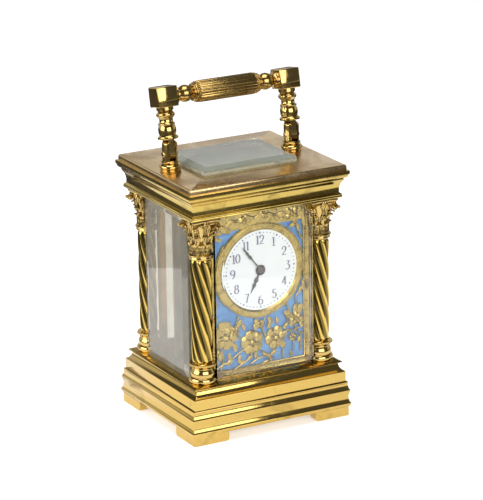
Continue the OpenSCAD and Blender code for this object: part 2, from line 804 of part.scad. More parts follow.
module dial_mask() {
    color(brass) on_arbor([0, 0], backing_y) difference() {
        linear_extrude(mask_t) union() {
            difference() {
                translate([-mask_half_w, mask_z]) square([2 * mask_half_w, mask_h]);
                translate([-mask_half_w + mask_border, mask_z + mask_border])
                    square([2 * (mask_half_w - mask_border), mask_h - 2 * mask_border]);
            }
            translate(centre_at) circle(bezel_r + 0.4);
            intersection() {
                translate([-mask_half_w, mask_z]) square([2 * mask_half_w, mask_h]);
                fret();
            }
        }
        translate([centre_at.x, centre_at.y, -1]) rod(enamel_r + seat_gap, mask_t + 2);
    }
}

// Blossom branches: curling stems with flowers at their eyes
module fret() {
    side = mask_half_w - mask_border;
    low = mask_z + mask_border;
    high = mask_z + mask_h - mask_border;
    corner_x = side - 4.9;
    ring_r = bezel_r + 0.4;
    for (s = [LEFT, RIGHT]) {
        // A scroll that fills the space between the dial ring and the border's side
        for (way = [-43, 43]) {
            r = (side - ring_r * cos(way)) / (1 + cos(way));
            at = centre_at + (ring_r + r) * [s * cos(way), sin(way)];
            scroll(at, r + 0.7);
            flower(at, 0.8 * r);
        }
        scroll([s * corner_x, low + 7.5], 5.6);
        flower([s * corner_x, low + 7.5], 3.4);
        scroll([s * 5.5, low + 11.5], 4);
        scroll([s * 8.5, high - 1.5], 3.6);
    }
    scroll([0, low + 3.5], 4.4);
    flower([0, low + 6.5], 4);
}

module scroll(at, r) {
    translate(at) difference() {
        circle(r);
        circle(r - 0.9);
        translate([-r, -0.6]) square([r / 2, 1.2]);
    }
}

module flower(at, r) {
    translate(at) {
        for (i = [0:4])
            rotate(90 + 72 * i) translate([0.58 * r, 0]) circle(0.42 * r);
        circle(0.36 * r);
        for (a = [30, 150, 270])
            rotate(a) translate([0, -0.3]) square([1.75 * r, 0.6]);
    }
}

module mask_backing() {
    color("cornflowerblue") difference() {
        union() {
            on_arbor([0, 0], backing_y + backing_t) linear_extrude(backing_t)
                translate([-mask_half_w, mask_z]) square([2 * mask_half_w, mask_h]);
            for (x = [-1, 1] * mask_foot_x, z = [mask_z + 5, mask_z + mask_h - 9.5])
                on_arbor([x, z], front_plate_y) rod(mask_foot_r, motion_gap + 0.1);
        }
        on_arbor(centre_at, backing_y + backing_t + 1) rod(centre_hole_r, backing_t + 2);
    }
}

module dial_bezel() {
    r0 = enamel_r - 0.15;
    w = bezel_r - r0;
    color(brass) on_arbor(centre_at, dial_y) turned(concat(
        [[r0, 0]],
        bend([r0, 0.25], [r0 + 0.3 * w, 1.2 * bezel_t], [r0 + 0.5 * w, 0.75 * bezel_t], 5),
        bend([r0 + 0.5 * w, 0.6 * bezel_t], [r0 + 0.9 * w, 1.3 * bezel_t], [bezel_r, 0.2], 5),
        [[bezel_r, 0]]));
}

module dial_plate() {
    color("white") on_arbor(centre_at, backing_y) difference() {
        rod(enamel_r, mask_t);
        translate([0, 0, -1]) rod(centre_hole_r, mask_t + 2);
    }
}

// A spade hand lying along local +X, with its eye at the origin
module hand(length, eye_r, bore_r) {
    difference() {
        linear_extrude(hand_t) union() {
            circle(eye_r);
            polygon([[0, -0.3], [0.66 * length, -0.2], [0.66 * length, 0.2], [0, 0.3]]);
            translate([0.72 * length, 0]) circle(0.085 * length);
            polygon([[0.74 * length, -0.075 * length], [length, 0], [0.74 * length, 0.075 * length]]);
        }
        translate([0, 0, -1]) rod(bore_r, hand_t + 2);
    }
}

cannon_r = 0.8;
hour_pipe_r = 1.3;
hour_hand_y = dial_y - 0.25;
minute_hand_y = hour_hand_y - hand_t - 0.2;

module hour_hand() {
    color("darkslategray") on_arbor(centre_at, hour_hand_y) rotate(90 - hour_hand_angle)
        hand(hour_hand_len, 2, hour_pipe_r + 0.02);
}

module minute_hand() {
    color("darkslategray") on_arbor(centre_at, minute_hand_y) rotate(90 - minute_hand_angle)
        hand(minute_hand_len, 1.5, cannon_r + 0.02);
}

// ---------------------------------------------------------------- movement frame

module movement_plate(y0) {
    span([-plate_w / 2, y0, slab_top], [plate_w / 2, y0 + plate_t, slab_top + plate_h]);
}

module pillar_places() {
    for (x = [-1, 1] * (plate_w / 2 - pillar_in), z = [slab_top + 4, slab_top + plate_h - 4])
        translate([x, 0, z]) children();
}

module pivot_hole(at, r) {
    on_arbor(at, back_face_y + 1) rod(r, back_face_y - front_plate_y + 2);
}

module train_holes() {
    for (at = [inter_at, third_at, contrate_at]) pivot_hole(at, pivot_r + running_gap);
}

module front_plate() {
    color(brass) {
        difference() {
            movement_plate(front_plate_y);
            train_holes();
            pivot_hole(barrel_at, barrel_arbor_r * 0.6 + running_gap);
            pivot_hole(centre_at, arbor_r + running_gap);
            plate_screw_holes();
        }
        on_arbor(minute_at, front_plate_y + 0.1) rod(arbor_r, motion_gap);
    }
}

module back_plate() {
    color(brass) {
        difference() {
            movement_plate(back_plate_y);
            train_holes();
            pivot_hole(barrel_at, barrel_arbor_r + running_gap);
            pivot_hole(centre_at, arbor_r + running_gap);
            plate_screw_holes();
        }
        on_arbor(click_at, ratchet_y + 0.2) rod(0.6, ratchet_y - back_face_y + 0.3);
    }
}

module plate_screw_holes() {
    pillar_places() translate([0, back_face_y + 1, 0]) rotate([90, 0, 0])
        rod(screw_r + running_gap, back_face_y - front_plate_y + 2);
    for (x = [-1, 1] * plate_w / 4, y = [front_plate_y, back_plate_y] + [1, 1] * plate_t / 2)
        translate([x, y, slab_top - 1]) rod(screw_r + running_gap, 5);
    platform_screw_places() translate([0, 0, platform_z - 3]) rod(screw_r + running_gap, 4);
}

module plate_pillars() {
    color(brass) pillar_places() translate([0, back_plate_y, 0]) rotate([90, 0, 0]) difference() {
        rod(pillar_r, plate_gap);
        translate([0, 0, -1]) rod(screw_r + running_gap, 5);
        translate([0, 0, plate_gap - 4]) rod(screw_r + running_gap, 5);
    }
}

module platform_screw_places() {
    for (x = [-1, 1] * (platform_half_w - 2.5), y = [front_plate_y, back_plate_y] + [1, 1] * plate_t / 2)
        translate([x, y, 0]) children();
}

// A screw with its head on local z = 0 and its shank below
module screw(length) {
    difference() {
        union() {
            rod(screw_head_r, screw_head_t);
            translate([0, 0, -length]) rod(screw_r, length + 0.1);
        }
        translate([-screw_head_r, -0.15, screw_head_t - 0.35]) cube([2 * screw_head_r, 0.3, 1]);
    }
}

module movement_screws() {
    color(steel) {
        pillar_places() {
            translate([0, back_face_y, 0]) rotate([-90, 0, 0]) screw(plate_t + 3);
            translate([0, front_plate_y, 0]) rotate([90, 0, 0]) screw(plate_t + 3);
        }
        platform_screw_places() translate([0, 0, platform_top]) screw(platform_t + 2.5);
        cock_screw_places() translate([0, 0, platform_z]) rotate([180, 0, 0]) screw(platform_t + 1.5);
        for (x = [-1, 1] * plate_w / 4, y = [front_plate_y, back_plate_y] + [1, 1] * plate_t / 2)
            translate([x, y, base_top - register_t]) rotate([180, 0, 0]) screw(register_t + slab_t + 3);
    }
}

// ---------------------------------------------------------------- barrel and winding work

module barrel() {
    color(brass) difference() {
        union() {
            on_arbor(barrel_at, great_y) gear(barrel_teeth, train_m, great_t, barrel_phase);
            on_arbor(barrel_at, drum_y) rod(drum_r, drum_y - great_y + 0.1);
        }
        on_arbor(barrel_at, drum_y + 1) rod(drum_r - drum_wall, drum_y - great_y + 1);
        on_arbor(barrel_at, drum_y + 1) rod(barrel_arbor_r + running_gap, drum_y - great_y + great_t + 2);
    }
}

module barrel_cap() {
    color(brass) on_arbor(barrel_at, drum_y) difference() {
        rod(drum_r - drum_wall - 0.03, cap_t);
        translate([0, 0, -1]) rod(barrel_arbor_r + running_gap, cap_t + 2);
    }
}

module mainspring() {
    r1 = drum_r - drum_wall - 0.3;
    band = 4.6;                                  // how far the wound coils reach in from the wall
    color(steel) on_arbor(barrel_at, drum_y - cap_t - 0.2)
        linear_extrude(drum_y - great_y - cap_t - 0.4) polygon(strip(r1 - band, r1, 8, 20, 0.25));
}

module barrel_arbor() {
    square_w = 2.1;
    back = ratchet_y + square_len;
    color(steel) {
        on_arbor(barrel_at, ratchet_y) rod(barrel_arbor_r, ratchet_y - train_y - end_shake);
        on_arbor(barrel_at, train_y + 0.2) rod(barrel_arbor_r * 0.6, plate_t);
        on_arbor(barrel_at, back) translate([-square_w / 2, -square_w / 2, 0])
            cube([square_w, square_w, square_len + 0.1]);
    }
}

module ratchet_wheel() {
    color(steel) on_arbor(barrel_at, ratchet_y) difference() {
        linear_extrude(wheel_t) polygon(saw_points(ratchet_teeth, ratchet_r, 0.5));
        translate([0, 0, -1]) rod(barrel_arbor_r + 0.02, wheel_t + 2);
    }
}

module click() {
    reach = norm(click_at - barrel_at);
    way = bearing(click_at, barrel_at);
    tip = sqrt(reach * reach - ratchet_r * ratchet_r) - 0.3;
    lean = asin(ratchet_r / reach) + click_open;
    color(steel) on_arbor(click_at, ratchet_y) difference() {
        linear_extrude(wheel_t) union() {
            circle(1.3);
            rotate(way - lean) polygon([[0, -1.2], [tip, -0.2], [tip, 0], [0, 1.2]]);
        }
        translate([0, 0, -1]) rod(0.6 + running_gap, wheel_t + 2);
    }
}

// ---------------------------------------------------------------- going train

// An arbor between the plates with a thin pivot at each end
module arbor(at) {
    on_arbor(at, back_plate_y - end_shake) rod(arbor_r, plate_gap - 2 * end_shake);
    on_arbor(at, back_face_y - 0.2) rod(pivot_r, back_face_y - front_plate_y - 0.4);
}

module intermediate_wheel() {
    color(brass) {
        arbor(inter_at);
        on_arbor(inter_at, great_y) gear(inter_pinion, train_m, great_t, inter_pinion_phase);
        on_arbor(inter_at, inter_y) spoked_gear(inter_teeth, train_m, wheel_t, inter_phase, 5);
    }
}

module centre_wheel() {
    square_w = 0.7;
    color(brass) {
        on_arbor(centre_at, back_plate_y - end_shake) rod(arbor_r + 0.3, plate_gap - 2 * end_shake);
        on_arbor(centre_at, back_face_y + 0.5) rod(arbor_r, back_face_y + 0.5 - minute_hand_y + hand_t);
        on_arbor(centre_at, back_face_y + 0.5 + square_len)
            translate([-square_w / 2, -square_w / 2, 0]) cube([square_w, square_w, square_len + 0.1]);
        on_arbor(centre_at, inter_y + (pinion_t - wheel_t) / 2)
            gear(centre_pinion, train_m, pinion_t, centre_pinion_phase);
        on_arbor(centre_at, centre_y) spoked_gear(centre_teeth, train_m, wheel_t, centre_phase, 5);
    }
}

module third_wheel() {
    color(brass) {
        arbor(third_at);
        on_arbor(third_at, centre_y + (pinion_t - wheel_t) / 2)
            gear(third_pinion, train_m, pinion_t, third_pinion_phase);
        on_arbor(third_at, third_y) spoked_gear(third_teeth, third_m, wheel_t, third_phase, 5);
    }
}

// The contrate wheel carries a crown of teeth that point back at the escape pinion
module contrate_wheel() {
    crown_teeth = 36;
    color(brass) {
        arbor(contrate_at);
        on_arbor(contrate_at, third_y + (pinion_t - wheel_t) / 2)
            gear(contrate_pinion, third_m, pinion_t, contrate_pinion_phase);
        on_arbor(contrate_at, contrate_y) rod(crown_r, wheel_t);
        on_arbor(contrate_at, crown_y) difference() {
            rod(crown_r, crown_h + 0.1);
            translate([0, 0, -1]) rod(crown_r - crown_wall, crown_h + 2);
            for (i = [0:crown_teeth - 1])
                rotate(360 * i / crown_teeth) translate([crown_r - crown_wall - 1, -0.26, -1])
                    cube([crown_wall + 2, 0.52, 1.9]);
        }
    }
}

// ---------------------------------------------------------------- motion work

module cannon_pinion() {
    front = minute_hand_y - hand_t - 0.1;
    color(steel) difference() {
        union() {
            on_arbor(centre_at, front_plate_y - 0.1) gear(cannon_teeth, motion_m, 0.7, cannon_phase);
            on_arbor(centre_at, front_plate_y - 0.1) rod(cannon_r, front_plate_y - 0.1 - front);
        }
        on_arbor(centre_at, front_plate_y) rod(arbor_r + 0.02, front_plate_y - front + 1);
    }
}

module minute_wheel() {
    color(brass) difference() {
        union() {
            on_arbor(minute_at, front_plate_y - 0.1) gear(minute_teeth, motion_m, 0.6, minute_phase);
            on_arbor(minute_at, front_plate_y - 0.65)
                gear(minute_pinion, hour_m, 0.85, minute_pinion_phase);
        }
        on_arbor(minute_at, front_plate_y + 1) rod(arbor_r + running_gap, 4);
    }
}

module hour_wheel() {
    back = front_plate_y - 0.9;
    front = hour_hand_y - hand_t - 0.05;
    color(brass) difference() {
        union() {
            on_arbor(centre_at, back) gear(hour_teeth, hour_m, 0.6, hour_phase);
            on_arbor(centre_at, back) rod(hour_pipe_r, back - front);
        }
        on_arbor(centre_at, back + 1) rod(cannon_r + 0.06, back - front + 2);
    }
}

// ---------------------------------------------------------------- platform escapement

platform_half_w = 13;

module platform_plate() {
    front = front_plate_y + 0.2;
    back = back_face_y - 0.2;
    potence_x = 4.2;
    potence_drop = 5;
    low = platform_z - potence_drop;
    color(brass) difference() {
        union() {
            span([-platform_half_w, front, platform_z], [platform_half_w, back, platform_top]);
            span([potence_x - 2, escape_at.y - 1, low], [potence_x, escape_at.y + 1.2, platform_z + 0.1]);
            span([-1, escape_at.y - 1, low], [potence_x, escape_at.y + 1.2, low + 1]);
        }
        translate([escape_at.x, escape_at.y, platform_z - 1]) rod(escape_pinion_r + 0.2, platform_t + 2);
        translate([escape_at.x, escape_at.y, low - 1]) rod(pivot_r + running_gap, 3);
        for (at = [lever_at, balance_at])
            translate([at.x, at.y, platform_z - 1]) rod(0.2 + running_gap, platform_t + 2);
        translate([0, 0, platform_z - 1]) {
            platform_screw_places() rod(screw_r + running_gap, platform_t + 2);
            cock_screw_places() rod(screw_r + running_gap, platform_t + 2);
        }
    }
}

module escape_wheel() {
    color(steel) translate([escape_at.x, escape_at.y, 0]) {
        translate([0, 0, platform_z - 3.8]) rod(arbor_r, cock_low - platform_z + 3.7);
        translate([0, 0, platform_z - 4.9]) rod(pivot_r, cock_low - platform_z + 5.5);
        translate([0, 0, platform_z - 3.4]) gear(6, 0.26, 2.4, 0);
        translate([0, 0, lever_z]) difference() {
            linear_extrude(lever_t) polygon(saw_points(escape_teeth, escape_r, 0.6));
            for (i = [0:3])
                rotate(90 * i) translate([1.4, 0, -1]) rod(0.55, 3);
        }
    }
}

// The lever: two pallet arms beside the escape wheel and a forked tail towards the balance
module lever() {
    pallet_r = escape_r + 0.3;
    color(steel) translate([lever_at.x, lever_at.y, 0]) {
        translate([0, 0, platform_top + 0.1]) rod(0.35, lever_z + lever_t - platform_top + 0.2);
        translate([0, 0, platform_z + 0.3]) rod(0.2, cock_low - platform_z + 0.2);
        translate([0, 0, lever_z]) linear_extrude(lever_t) union() {
            circle(0.7);
            for (s = [LEFT, RIGHT])
                polygon([[0, -0.5], [s * 2.2, 0.75], [s * 2.2, 1.6], [s * 1.75, 1.6], [0, 0.6]]);
            polygon([[-0.3, 0], [0.3, 0], [0.25, -2.9], [-0.25, -2.9]]);
            for (s = [LEFT, RIGHT])
                polygon([[0, -2.6], [s * 0.5, -2.9], [s * 0.6, -3.35], [s * 0.35, -3.35], [s * 0.25, -3]]);
        }
    }
}

module balance_wheel() {
    color("gold") translate([balance_at.x, balance_at.y, 0]) {
        translate([0, 0, platform_top + 0.15]) rod(0.35, cock_z - platform_top - 0.25);
        translate([0, 0, platform_z + 0.3]) rod(0.2, cock_z - platform_z + 0.4);
        translate([0, 0, balance_z]) {
            difference() {
                rod(balance_r, balance_t);
                translate([0, 0, -1]) rod(balance_r - 0.7, balance_t + 2);
            }
            block(balance_r - 0.4, 0.4, 0.2, 0.5);
            rod(0.8, balance_t);
        }
        translate([0, 0, lever_z + lever_t + 0.4]) rod(1, 0.3);
        translate([0, 0.75, lever_z]) rod(0.12, lever_t + 0.6);
    }
}

cock_low = lever_z + lever_t + 0.5;
cock_low_t = 0.7;
cock_half_w = 2;                                 // foot of the balance cock
cock_half_d = 2.2;
cock_x = balance_r + cock_half_w + 1;
low_cock_half_w = 1.6;                           // foot of the escape cock
low_cock_front = 2.6;
low_cock_x = -escape_r - low_cock_half_w - 2.9;

module cock_screw_places() {
    translate([cock_x, balance_at.y, 0]) children();
    translate([low_cock_x, escape_at.y - 1, 0]) children();
}

module platform_cocks() {
    low_y = escape_at.y - low_cock_front;
    high_y = escape_at.y + 1;
    color(brass) difference() {
        union() {
            span([cock_x - cock_half_w, balance_at.y - cock_half_d, platform_top],
                [cock_x + cock_half_w, balance_at.y + cock_half_d, cock_z + cock_t]);
            span([balance_at.x, balance_at.y - 1, cock_z], [cock_x, balance_at.y + 1, cock_z + cock_t]);
            translate([balance_at.x, balance_at.y, cock_z]) rod(1.6, cock_t);
            translate([balance_at.x + 3.05, balance_at.y, cock_z - 0.55]) rod(0.2, 0.6);
            span([low_cock_x - low_cock_half_w, low_y, platform_top],
                [low_cock_x + low_cock_half_w, high_y, cock_low + 0.1]);
            span([low_cock_x - low_cock_half_w, low_y, cock_low],
                [escape_at.x, high_y, cock_low + cock_low_t]);
            span([low_cock_x, lever_at.y - 1, cock_low],
                [lever_at.x + 1, escape_at.y, cock_low + cock_low_t]);
            translate([escape_at.x, escape_at.y, cock_low]) rod(1, cock_low_t);
        }
        translate([balance_at.x, balance_at.y, cock_z - 1]) rod(0.2 + running_gap, cock_t + 2);
        translate([escape_at.x, escape_at.y, cock_low - 1]) rod(pivot_r + running_gap, 3);
        translate([lever_at.x, lever_at.y, cock_low - 1]) rod(0.2 + running_gap, 3);
        cock_screw_places() translate([0, 0, platform_top - 1]) rod(screw_r + running_gap, 3);
    }
}

module hairspring() {
    color("steelblue") translate([balance_at.x, balance_at.y, cock_z - 0.5])
        linear_extrude(0.2) polygon(strip(0.6, 2.75, 6, 20, 0.12));
}

// ---------------------------------------------------------------- nodes

base_moulding();
base_plate();
column_base(LEFT, FRONT);  // column_base_front_left
column_base(RIGHT, FRONT);  // column_base_front_right
column_base(LEFT, REAR);  // column_base_rear_left
column_base(RIGHT, REAR);  // column_base_rear_right
column_shaft(LEFT, FRONT);  // column_shaft_front_left
column_shaft(RIGHT, FRONT);  // column_shaft_front_right
column_shaft(LEFT, REAR);  // column_shaft_rear_left
column_shaft(RIGHT, REAR);  // column_shaft_rear_right
capital(LEFT, FRONT);  // capital_front_left
capital(RIGHT, FRONT);  // capital_front_right
capital(LEFT, REAR);  // capital_rear_left
capital(RIGHT, REAR);  // capital_rear_right
tie_rods();
tie_nuts();
cornice_frame();
top_plate();
top_glass();
front_glass();
side_glass(LEFT);  // left_glass
side_glass(RIGHT);  // right_glass
door_frame();
door_glass();
door_knob();
handle_post(LEFT);  // handle_post_left
handle_post(RIGHT);  // handle_post_right
handle_pins();
handle_leg(LEFT);  // handle_leg_left
handle_leg(RIGHT);  // handle_leg_right
handle_grip();
dial_mask();
mask_backing();
dial_bezel();
dial_plate();
hour_hand();
minute_hand();
front_plate();
back_plate();
plate_pillars();
movement_screws();
barrel();
barrel_cap();
mainspring();
barrel_arbor();
ratchet_wheel();
click();
intermediate_wheel();
centre_wheel();
third_wheel();
contrate_wheel();
cannon_pinion();
minute_wheel();
hour_wheel();
platform_plate();
escape_wheel();
lever();
balance_wheel();
platform_cocks();
hairspring();
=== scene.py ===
import json
import math

import bmesh
import bpy
from mathutils import Matrix, Vector

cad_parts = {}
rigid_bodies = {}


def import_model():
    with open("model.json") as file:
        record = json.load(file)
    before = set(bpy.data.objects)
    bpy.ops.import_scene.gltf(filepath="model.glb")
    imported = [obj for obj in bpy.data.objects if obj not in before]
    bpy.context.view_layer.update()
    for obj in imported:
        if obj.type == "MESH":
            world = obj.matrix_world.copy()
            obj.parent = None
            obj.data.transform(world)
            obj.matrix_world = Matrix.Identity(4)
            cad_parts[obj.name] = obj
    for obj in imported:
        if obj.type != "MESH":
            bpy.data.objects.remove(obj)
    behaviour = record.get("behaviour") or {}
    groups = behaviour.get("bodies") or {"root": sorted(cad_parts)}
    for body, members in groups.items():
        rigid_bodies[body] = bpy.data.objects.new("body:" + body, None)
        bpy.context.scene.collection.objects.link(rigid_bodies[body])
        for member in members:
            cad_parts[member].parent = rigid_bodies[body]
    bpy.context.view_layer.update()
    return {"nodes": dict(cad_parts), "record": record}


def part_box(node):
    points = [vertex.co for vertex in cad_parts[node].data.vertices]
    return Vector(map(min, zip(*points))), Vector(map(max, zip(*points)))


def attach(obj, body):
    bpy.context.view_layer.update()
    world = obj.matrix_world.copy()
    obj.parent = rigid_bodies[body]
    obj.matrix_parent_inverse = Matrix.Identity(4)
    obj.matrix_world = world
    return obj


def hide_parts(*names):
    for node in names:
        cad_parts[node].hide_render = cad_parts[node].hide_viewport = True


for leftover in list(bpy.data.objects):
    bpy.data.objects.remove(leftover)
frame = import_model()
scene = bpy.context.scene
mm = 0.001
fullTurn = 2 * math.pi
print("frame loaded:", len(frame["nodes"]), "nodes")


def boxOf(node):
    low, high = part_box(node)
    return low / mm, high / mm  # millimetres


def middleOf(node):
    low, high = boxOf(node)
    return (low + high) / 2


baseHigh = boxOf("base_moulding")[1]
plinthLow, plinthHigh = boxOf("base_plate")
corniceLow, corniceHigh = boxOf("cornice_frame")
topLow, topHigh = boxOf("top_plate")
shaftLow, shaftHigh = boxOf("column_shaft_front_left")
capitalLow, capitalHigh = boxOf("capital_front_left")
maskLow, maskHigh = boxOf("dial_mask")
dialLow, dialHigh = boxOf("dial_plate")
pinLow, pinHigh = boxOf("handle_pins")
overhang = 0.5  # the lowest ridge of the base passes the foot line by this much
halfW = baseHigh.x - overhang
halfD = baseHigh.y - overhang
dialZ = (dialLow.z + dialHigh.z) / 2
dialFace = dialLow.y
enamelR = (dialHigh.x - dialLow.x) / 2
pinZ = (pinLow.z + pinHigh.z) / 2
signOf = {"left": -1, "right": 1, "front": -1, "rear": 1}
corners = [(depth, side) for depth in ("front", "rear") for side in ("left", "right")]


# shapes are drawn in millimetres; makePiece turns them into metres

swapYZ = Matrix(((1, 0, 0, 0), (0, 0, 1, 0), (0, 1, 0, 0), (0, 0, 0, 1)))
swapXY = Matrix(((0, 1, 0, 0), (1, 0, 0, 0), (0, 0, 1, 0), (0, 0, 0, 1)))


# a line from start, swelling by out at its middle; the end is left for the next line
def bow(start, end, out, steps=6):
    pull = ((start[0] + end[0]) / 2 + 2 * out, (start[1] + end[1]) / 2)
    return bendLine(start, pull, end, steps)


def bendLine(start, pull, end, steps=6):
    shares = [i / steps for i in range(steps)]
    return [tuple((1 - t) ** 2 * a + 2 * t * (1 - t) * c + t * t * b for a, c, b in zip(start, pull, end))
            for t in shares]


def closeUp(bm):
    touching = 0.0005
    bmesh.ops.remove_doubles(bm, verts=bm.verts, dist=touching)
    bmesh.ops.recalc_face_normals(bm, faces=bm.faces)
    return bm


def placed(bm, move):
    bmesh.ops.transform(bm, matrix=move, verts=bm.verts)
    return bm


def pulledEdges(bm, edges):  # draws a skin out of the edges and gives its new edges
    grown = bmesh.ops.extrude_edge_only(bm, edges=edges)["geom"]
    return [g for g in grown if isinstance(g, bmesh.types.BMEdge)]


def roundEdges(bm, edges, width, segments):
    bmesh.ops.bevel(bm, geom=edges, affect="EDGES", offset=width, segments=segments, profile=0.5, material=-1)
    return bm


def turned(outline, steps=56):  # outline as (radius, height)
    bm = bmesh.new()
    line = [bm.verts.new((r, 0, z)) for r, z in outline]
    edges = [bm.edges.new(pair) for pair in zip(line, line[1:])]
    bmesh.ops.spin(bm, geom=line + edges, cent=(0, 0, 0), axis=(0, 0, 1), dvec=(0, 0, 0), angle=fullTurn,
                   steps=steps, use_merge=True, use_normal_flip=False, use_duplicate=False)
    return closeUp(bm)


def rectLoops(levels, closed=True):  # levels as (low x, high x, low y, high y, z)
    bm = bmesh.new()

    def cornersAt(level):
        x0, x1, y0, y1, z = level
        return [(x0, y0, z), (x1, y0, z), (x1, y1, z), (x0, y1, z)]

    verts = [bm.verts.new(p) for p in cornersAt(levels[0])]
    edges = [bm.edges.new((verts[i], verts[(i + 1) % 4])) for i in range(4)]
    first = edges
    for level in levels[1:]:
        edges = pulledEdges(bm, edges)
        loop = {v for e in edges for v in e.verts}
        frontLeft, frontRight, backRight, backLeft = cornersAt(level)
        middleX = sum(v.co.x for v in loop) / 4
        middleY = sum(v.co.y for v in loop) / 4
        for v in loop:
            if v.co.y > middleY:
                v.co = backRight if v.co.x > middleX else backLeft
            else:
                v.co = frontRight if v.co.x > middleX else frontLeft
    if closed:
        bmesh.ops.bridge_loops(bm, edges=first + edges)
    else:
        bmesh.ops.edgeloop_fill(bm, edges=first)
        bmesh.ops.edgeloop_fill(bm, edges=edges)
    return closeUp(bm)


def around(halfX, halfY, z):
    return (-halfX, halfX, -halfY, halfY, z)


def softCorners(bm, width, segments=2):  # rounds the mitres of a moulding
    flattest = math.radians(3)  # a flatter joint stays as it is
    chosen = []
    for edge in bm.edges:
        run = edge.verts[0].co - edge.verts[1].co
        if abs(abs(run.x) - abs(run.y)) < 0.01 * run.length and edge.calc_face_angle(0) > flattest:
            chosen.append(edge)
    return roundEdges(bm, chosen, width, segments)


def bar(low, high):
    bm = bmesh.new()
    bmesh.ops.create_cube(bm, size=1)
    size = Vector(high) - Vector(low)
    bmesh.ops.scale(bm, vec=size, verts=bm.verts)
    bmesh.ops.translate(bm, vec=(Vector(high) + Vector(low)) / 2, verts=bm.verts)
    return bm


def ball(radius, at, fine=False):
    bm = bmesh.new()
    bmesh.ops.create_uvsphere(bm, u_segments=20 if fine else 8, v_segments=12 if fine else 6, radius=radius)
    bmesh.ops.translate(bm, vec=at, verts=bm.verts)
    return bm


def gather(parts):  # several bmeshes as one; each may come with its own matrix
    whole = bmesh.new()
    for part in parts:
        bm, move = part if isinstance(part, tuple) else (part, None)
        if move is not None:
            placed(bm, move)
        carrier = bpy.data.meshes.new("carrier")
        bm.to_mesh(carrier)
        bm.free()
        whole.from_mesh(carrier)
        bpy.data.meshes.remove(carrier)
    return whole


def strand(points, radii):  # a tapering round wire through the points
    curve = bpy.data.curves.new("strand", "CURVE")
    curve.dimensions = "3D"
    curve.bevel_depth = 1
    curve.bevel_resolution = 2
    curve.use_fill_caps = True
    line = curve.splines.new("POLY")
    line.points.add(len(points) - 1)
    for knot, place, radius in zip(line.points, points, radii):
        knot.co = (*place, 1)
        knot.radius = radius
    carrier = bpy.data.objects.new("strand", curve)
    drawn = bpy.data.meshes.new_from_object(carrier)
    bm = bmesh.new()
    bm.from_mesh(drawn)
    bpy.data.objects.remove(carrier)
    bpy.data.curves.remove(curve)
    bpy.data.meshes.remove(drawn)
    return closeUp(bm)


def smoothRun(knots, steps=8):  # an even curve through the knots
    padded = [knots[0]] + list(knots) + [knots[-1]]
    run = []
    for a, b, c, d in zip(padded, padded[1:], padded[2:], padded[3:]):
        for i in range(steps):
            t = i / steps
            run.append(tuple(0.5 * (2 * q + (r - p) * t + (2 * p - 5 * q + 4 * r - s) * t * t
                                    + (3 * q - p - 3 * r + s) * t ** 3)
                             for p, q, r, s in zip(a, b, c, d)))
    return run + [tuple(knots[-1])]


# a leaf or petal along +X, face up
def frond(length, width, lobes=0, lift=0.3, hollow=0.15, tip=0.1, thick=0.16, rows=10):
    bm = bmesh.new()
    bmesh.ops.create_grid(bm, x_segments=rows, y_segments=6, size=1)
    for v in bm.verts:
        along, across = (v.co.x + 1) / 2, v.co.y
        span = width * math.sin(math.pi * (0.1 + (0.9 - tip) * along)) ** 0.7
        if lobes:
            span *= 0.72 + 0.28 * abs(math.sin(math.pi * lobes * along + 0.4))
        rib = lift * math.sin(math.pi * min(1, 0.15 + 0.8 * along))
        v.co = (length * along * (1 - 0.1 * across * across * along), across * span,
                rib * (1 - 0.7 * abs(across)) + hollow * across * across)
    bmesh.ops.solidify(bm, geom=list(bm.faces), thickness=thick)
    bmesh.ops.recalc_face_normals(bm, faces=bm.faces)
    return bm


def blossom(radius, petals, lift=0.5, turn=0.0, ruffle=0.0):  # face up, at the origin
    heart, beadRing = 0.26 * radius, 0.32 * radius
    parts = []
    for i in range(petals):
        petal = frond(radius * 0.86, radius * 2.5 / petals, lift=lift * 0.55, hollow=-lift * 0.4 + ruffle,
                      tip=0.22, rows=7)
        way = Matrix.Rotation(turn + fullTurn * i / petals, 4, "Z")
        parts.append((petal, way @ Matrix.Translation((radius * 0.14, 0, 0.1))))
    top = (0, lift * 1.15)
    parts.append(turned([top] + bow(top, (heart, 0), radius * 0.12, 4) + [(heart, 0)], 14))
    for i in range(petals):
        angle = turn + fullTurn * (i + 0.5) / petals
        spot = (beadRing * math.cos(angle), beadRing * math.sin(angle), lift * 0.7)
        parts.append(ball(radius * 0.07, spot))
    return gather(parts)


def meshObject(name, bm):
    mesh = bpy.data.meshes.new(name)
    bm.to_mesh(mesh)
    bm.free()
    made = bpy.data.objects.new(name, mesh)
    scene.collection.objects.link(made)
    return made


def makePiece(name, bm, body, finish, replaced=(), smooth=38, bevel=0.0):
    bmesh.ops.scale(bm, vec=(mm, mm, mm), verts=bm.verts)
    piece = meshObject(name, bm)
    piece.data.materials.append(finish)
    piece.data.shade_smooth()
    piece.data.set_sharp_from_angle(angle=math.radians(smooth))
    if bevel:
        edge = piece.modifiers.new("edges", "BEVEL")
        edge.width = bevel * mm
        edge.segments = 2
        edge.limit_method = "ANGLE"
        edge.angle_limit = math.radians(32)
        edge.harden_normals = True
    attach(piece, body)
    if replaced:
        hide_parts(*replaced)
    return piece


def cutAway(piece, low, high):  # takes a box out of a finished piece
    knife = meshObject("knife", placed(bar(low, high), Matrix.Scale(mm, 4)))
    cut = piece.modifiers.new("cut", "BOOLEAN")
    cut.object = knife
    cut.solver = "EXACT"
    cut.use_self = True
    bpy.context.view_layer.update()
    cutPiece = piece.evaluated_get(bpy.context.evaluated_depsgraph_get())
    shaped = bpy.data.meshes.new_from_object(cutPiece)
    piece.modifiers.clear()
    old, piece.data = piece.data, shaped
    shaped.name = piece.name
    bpy.data.meshes.remove(old)
    bpy.data.objects.remove(knife)


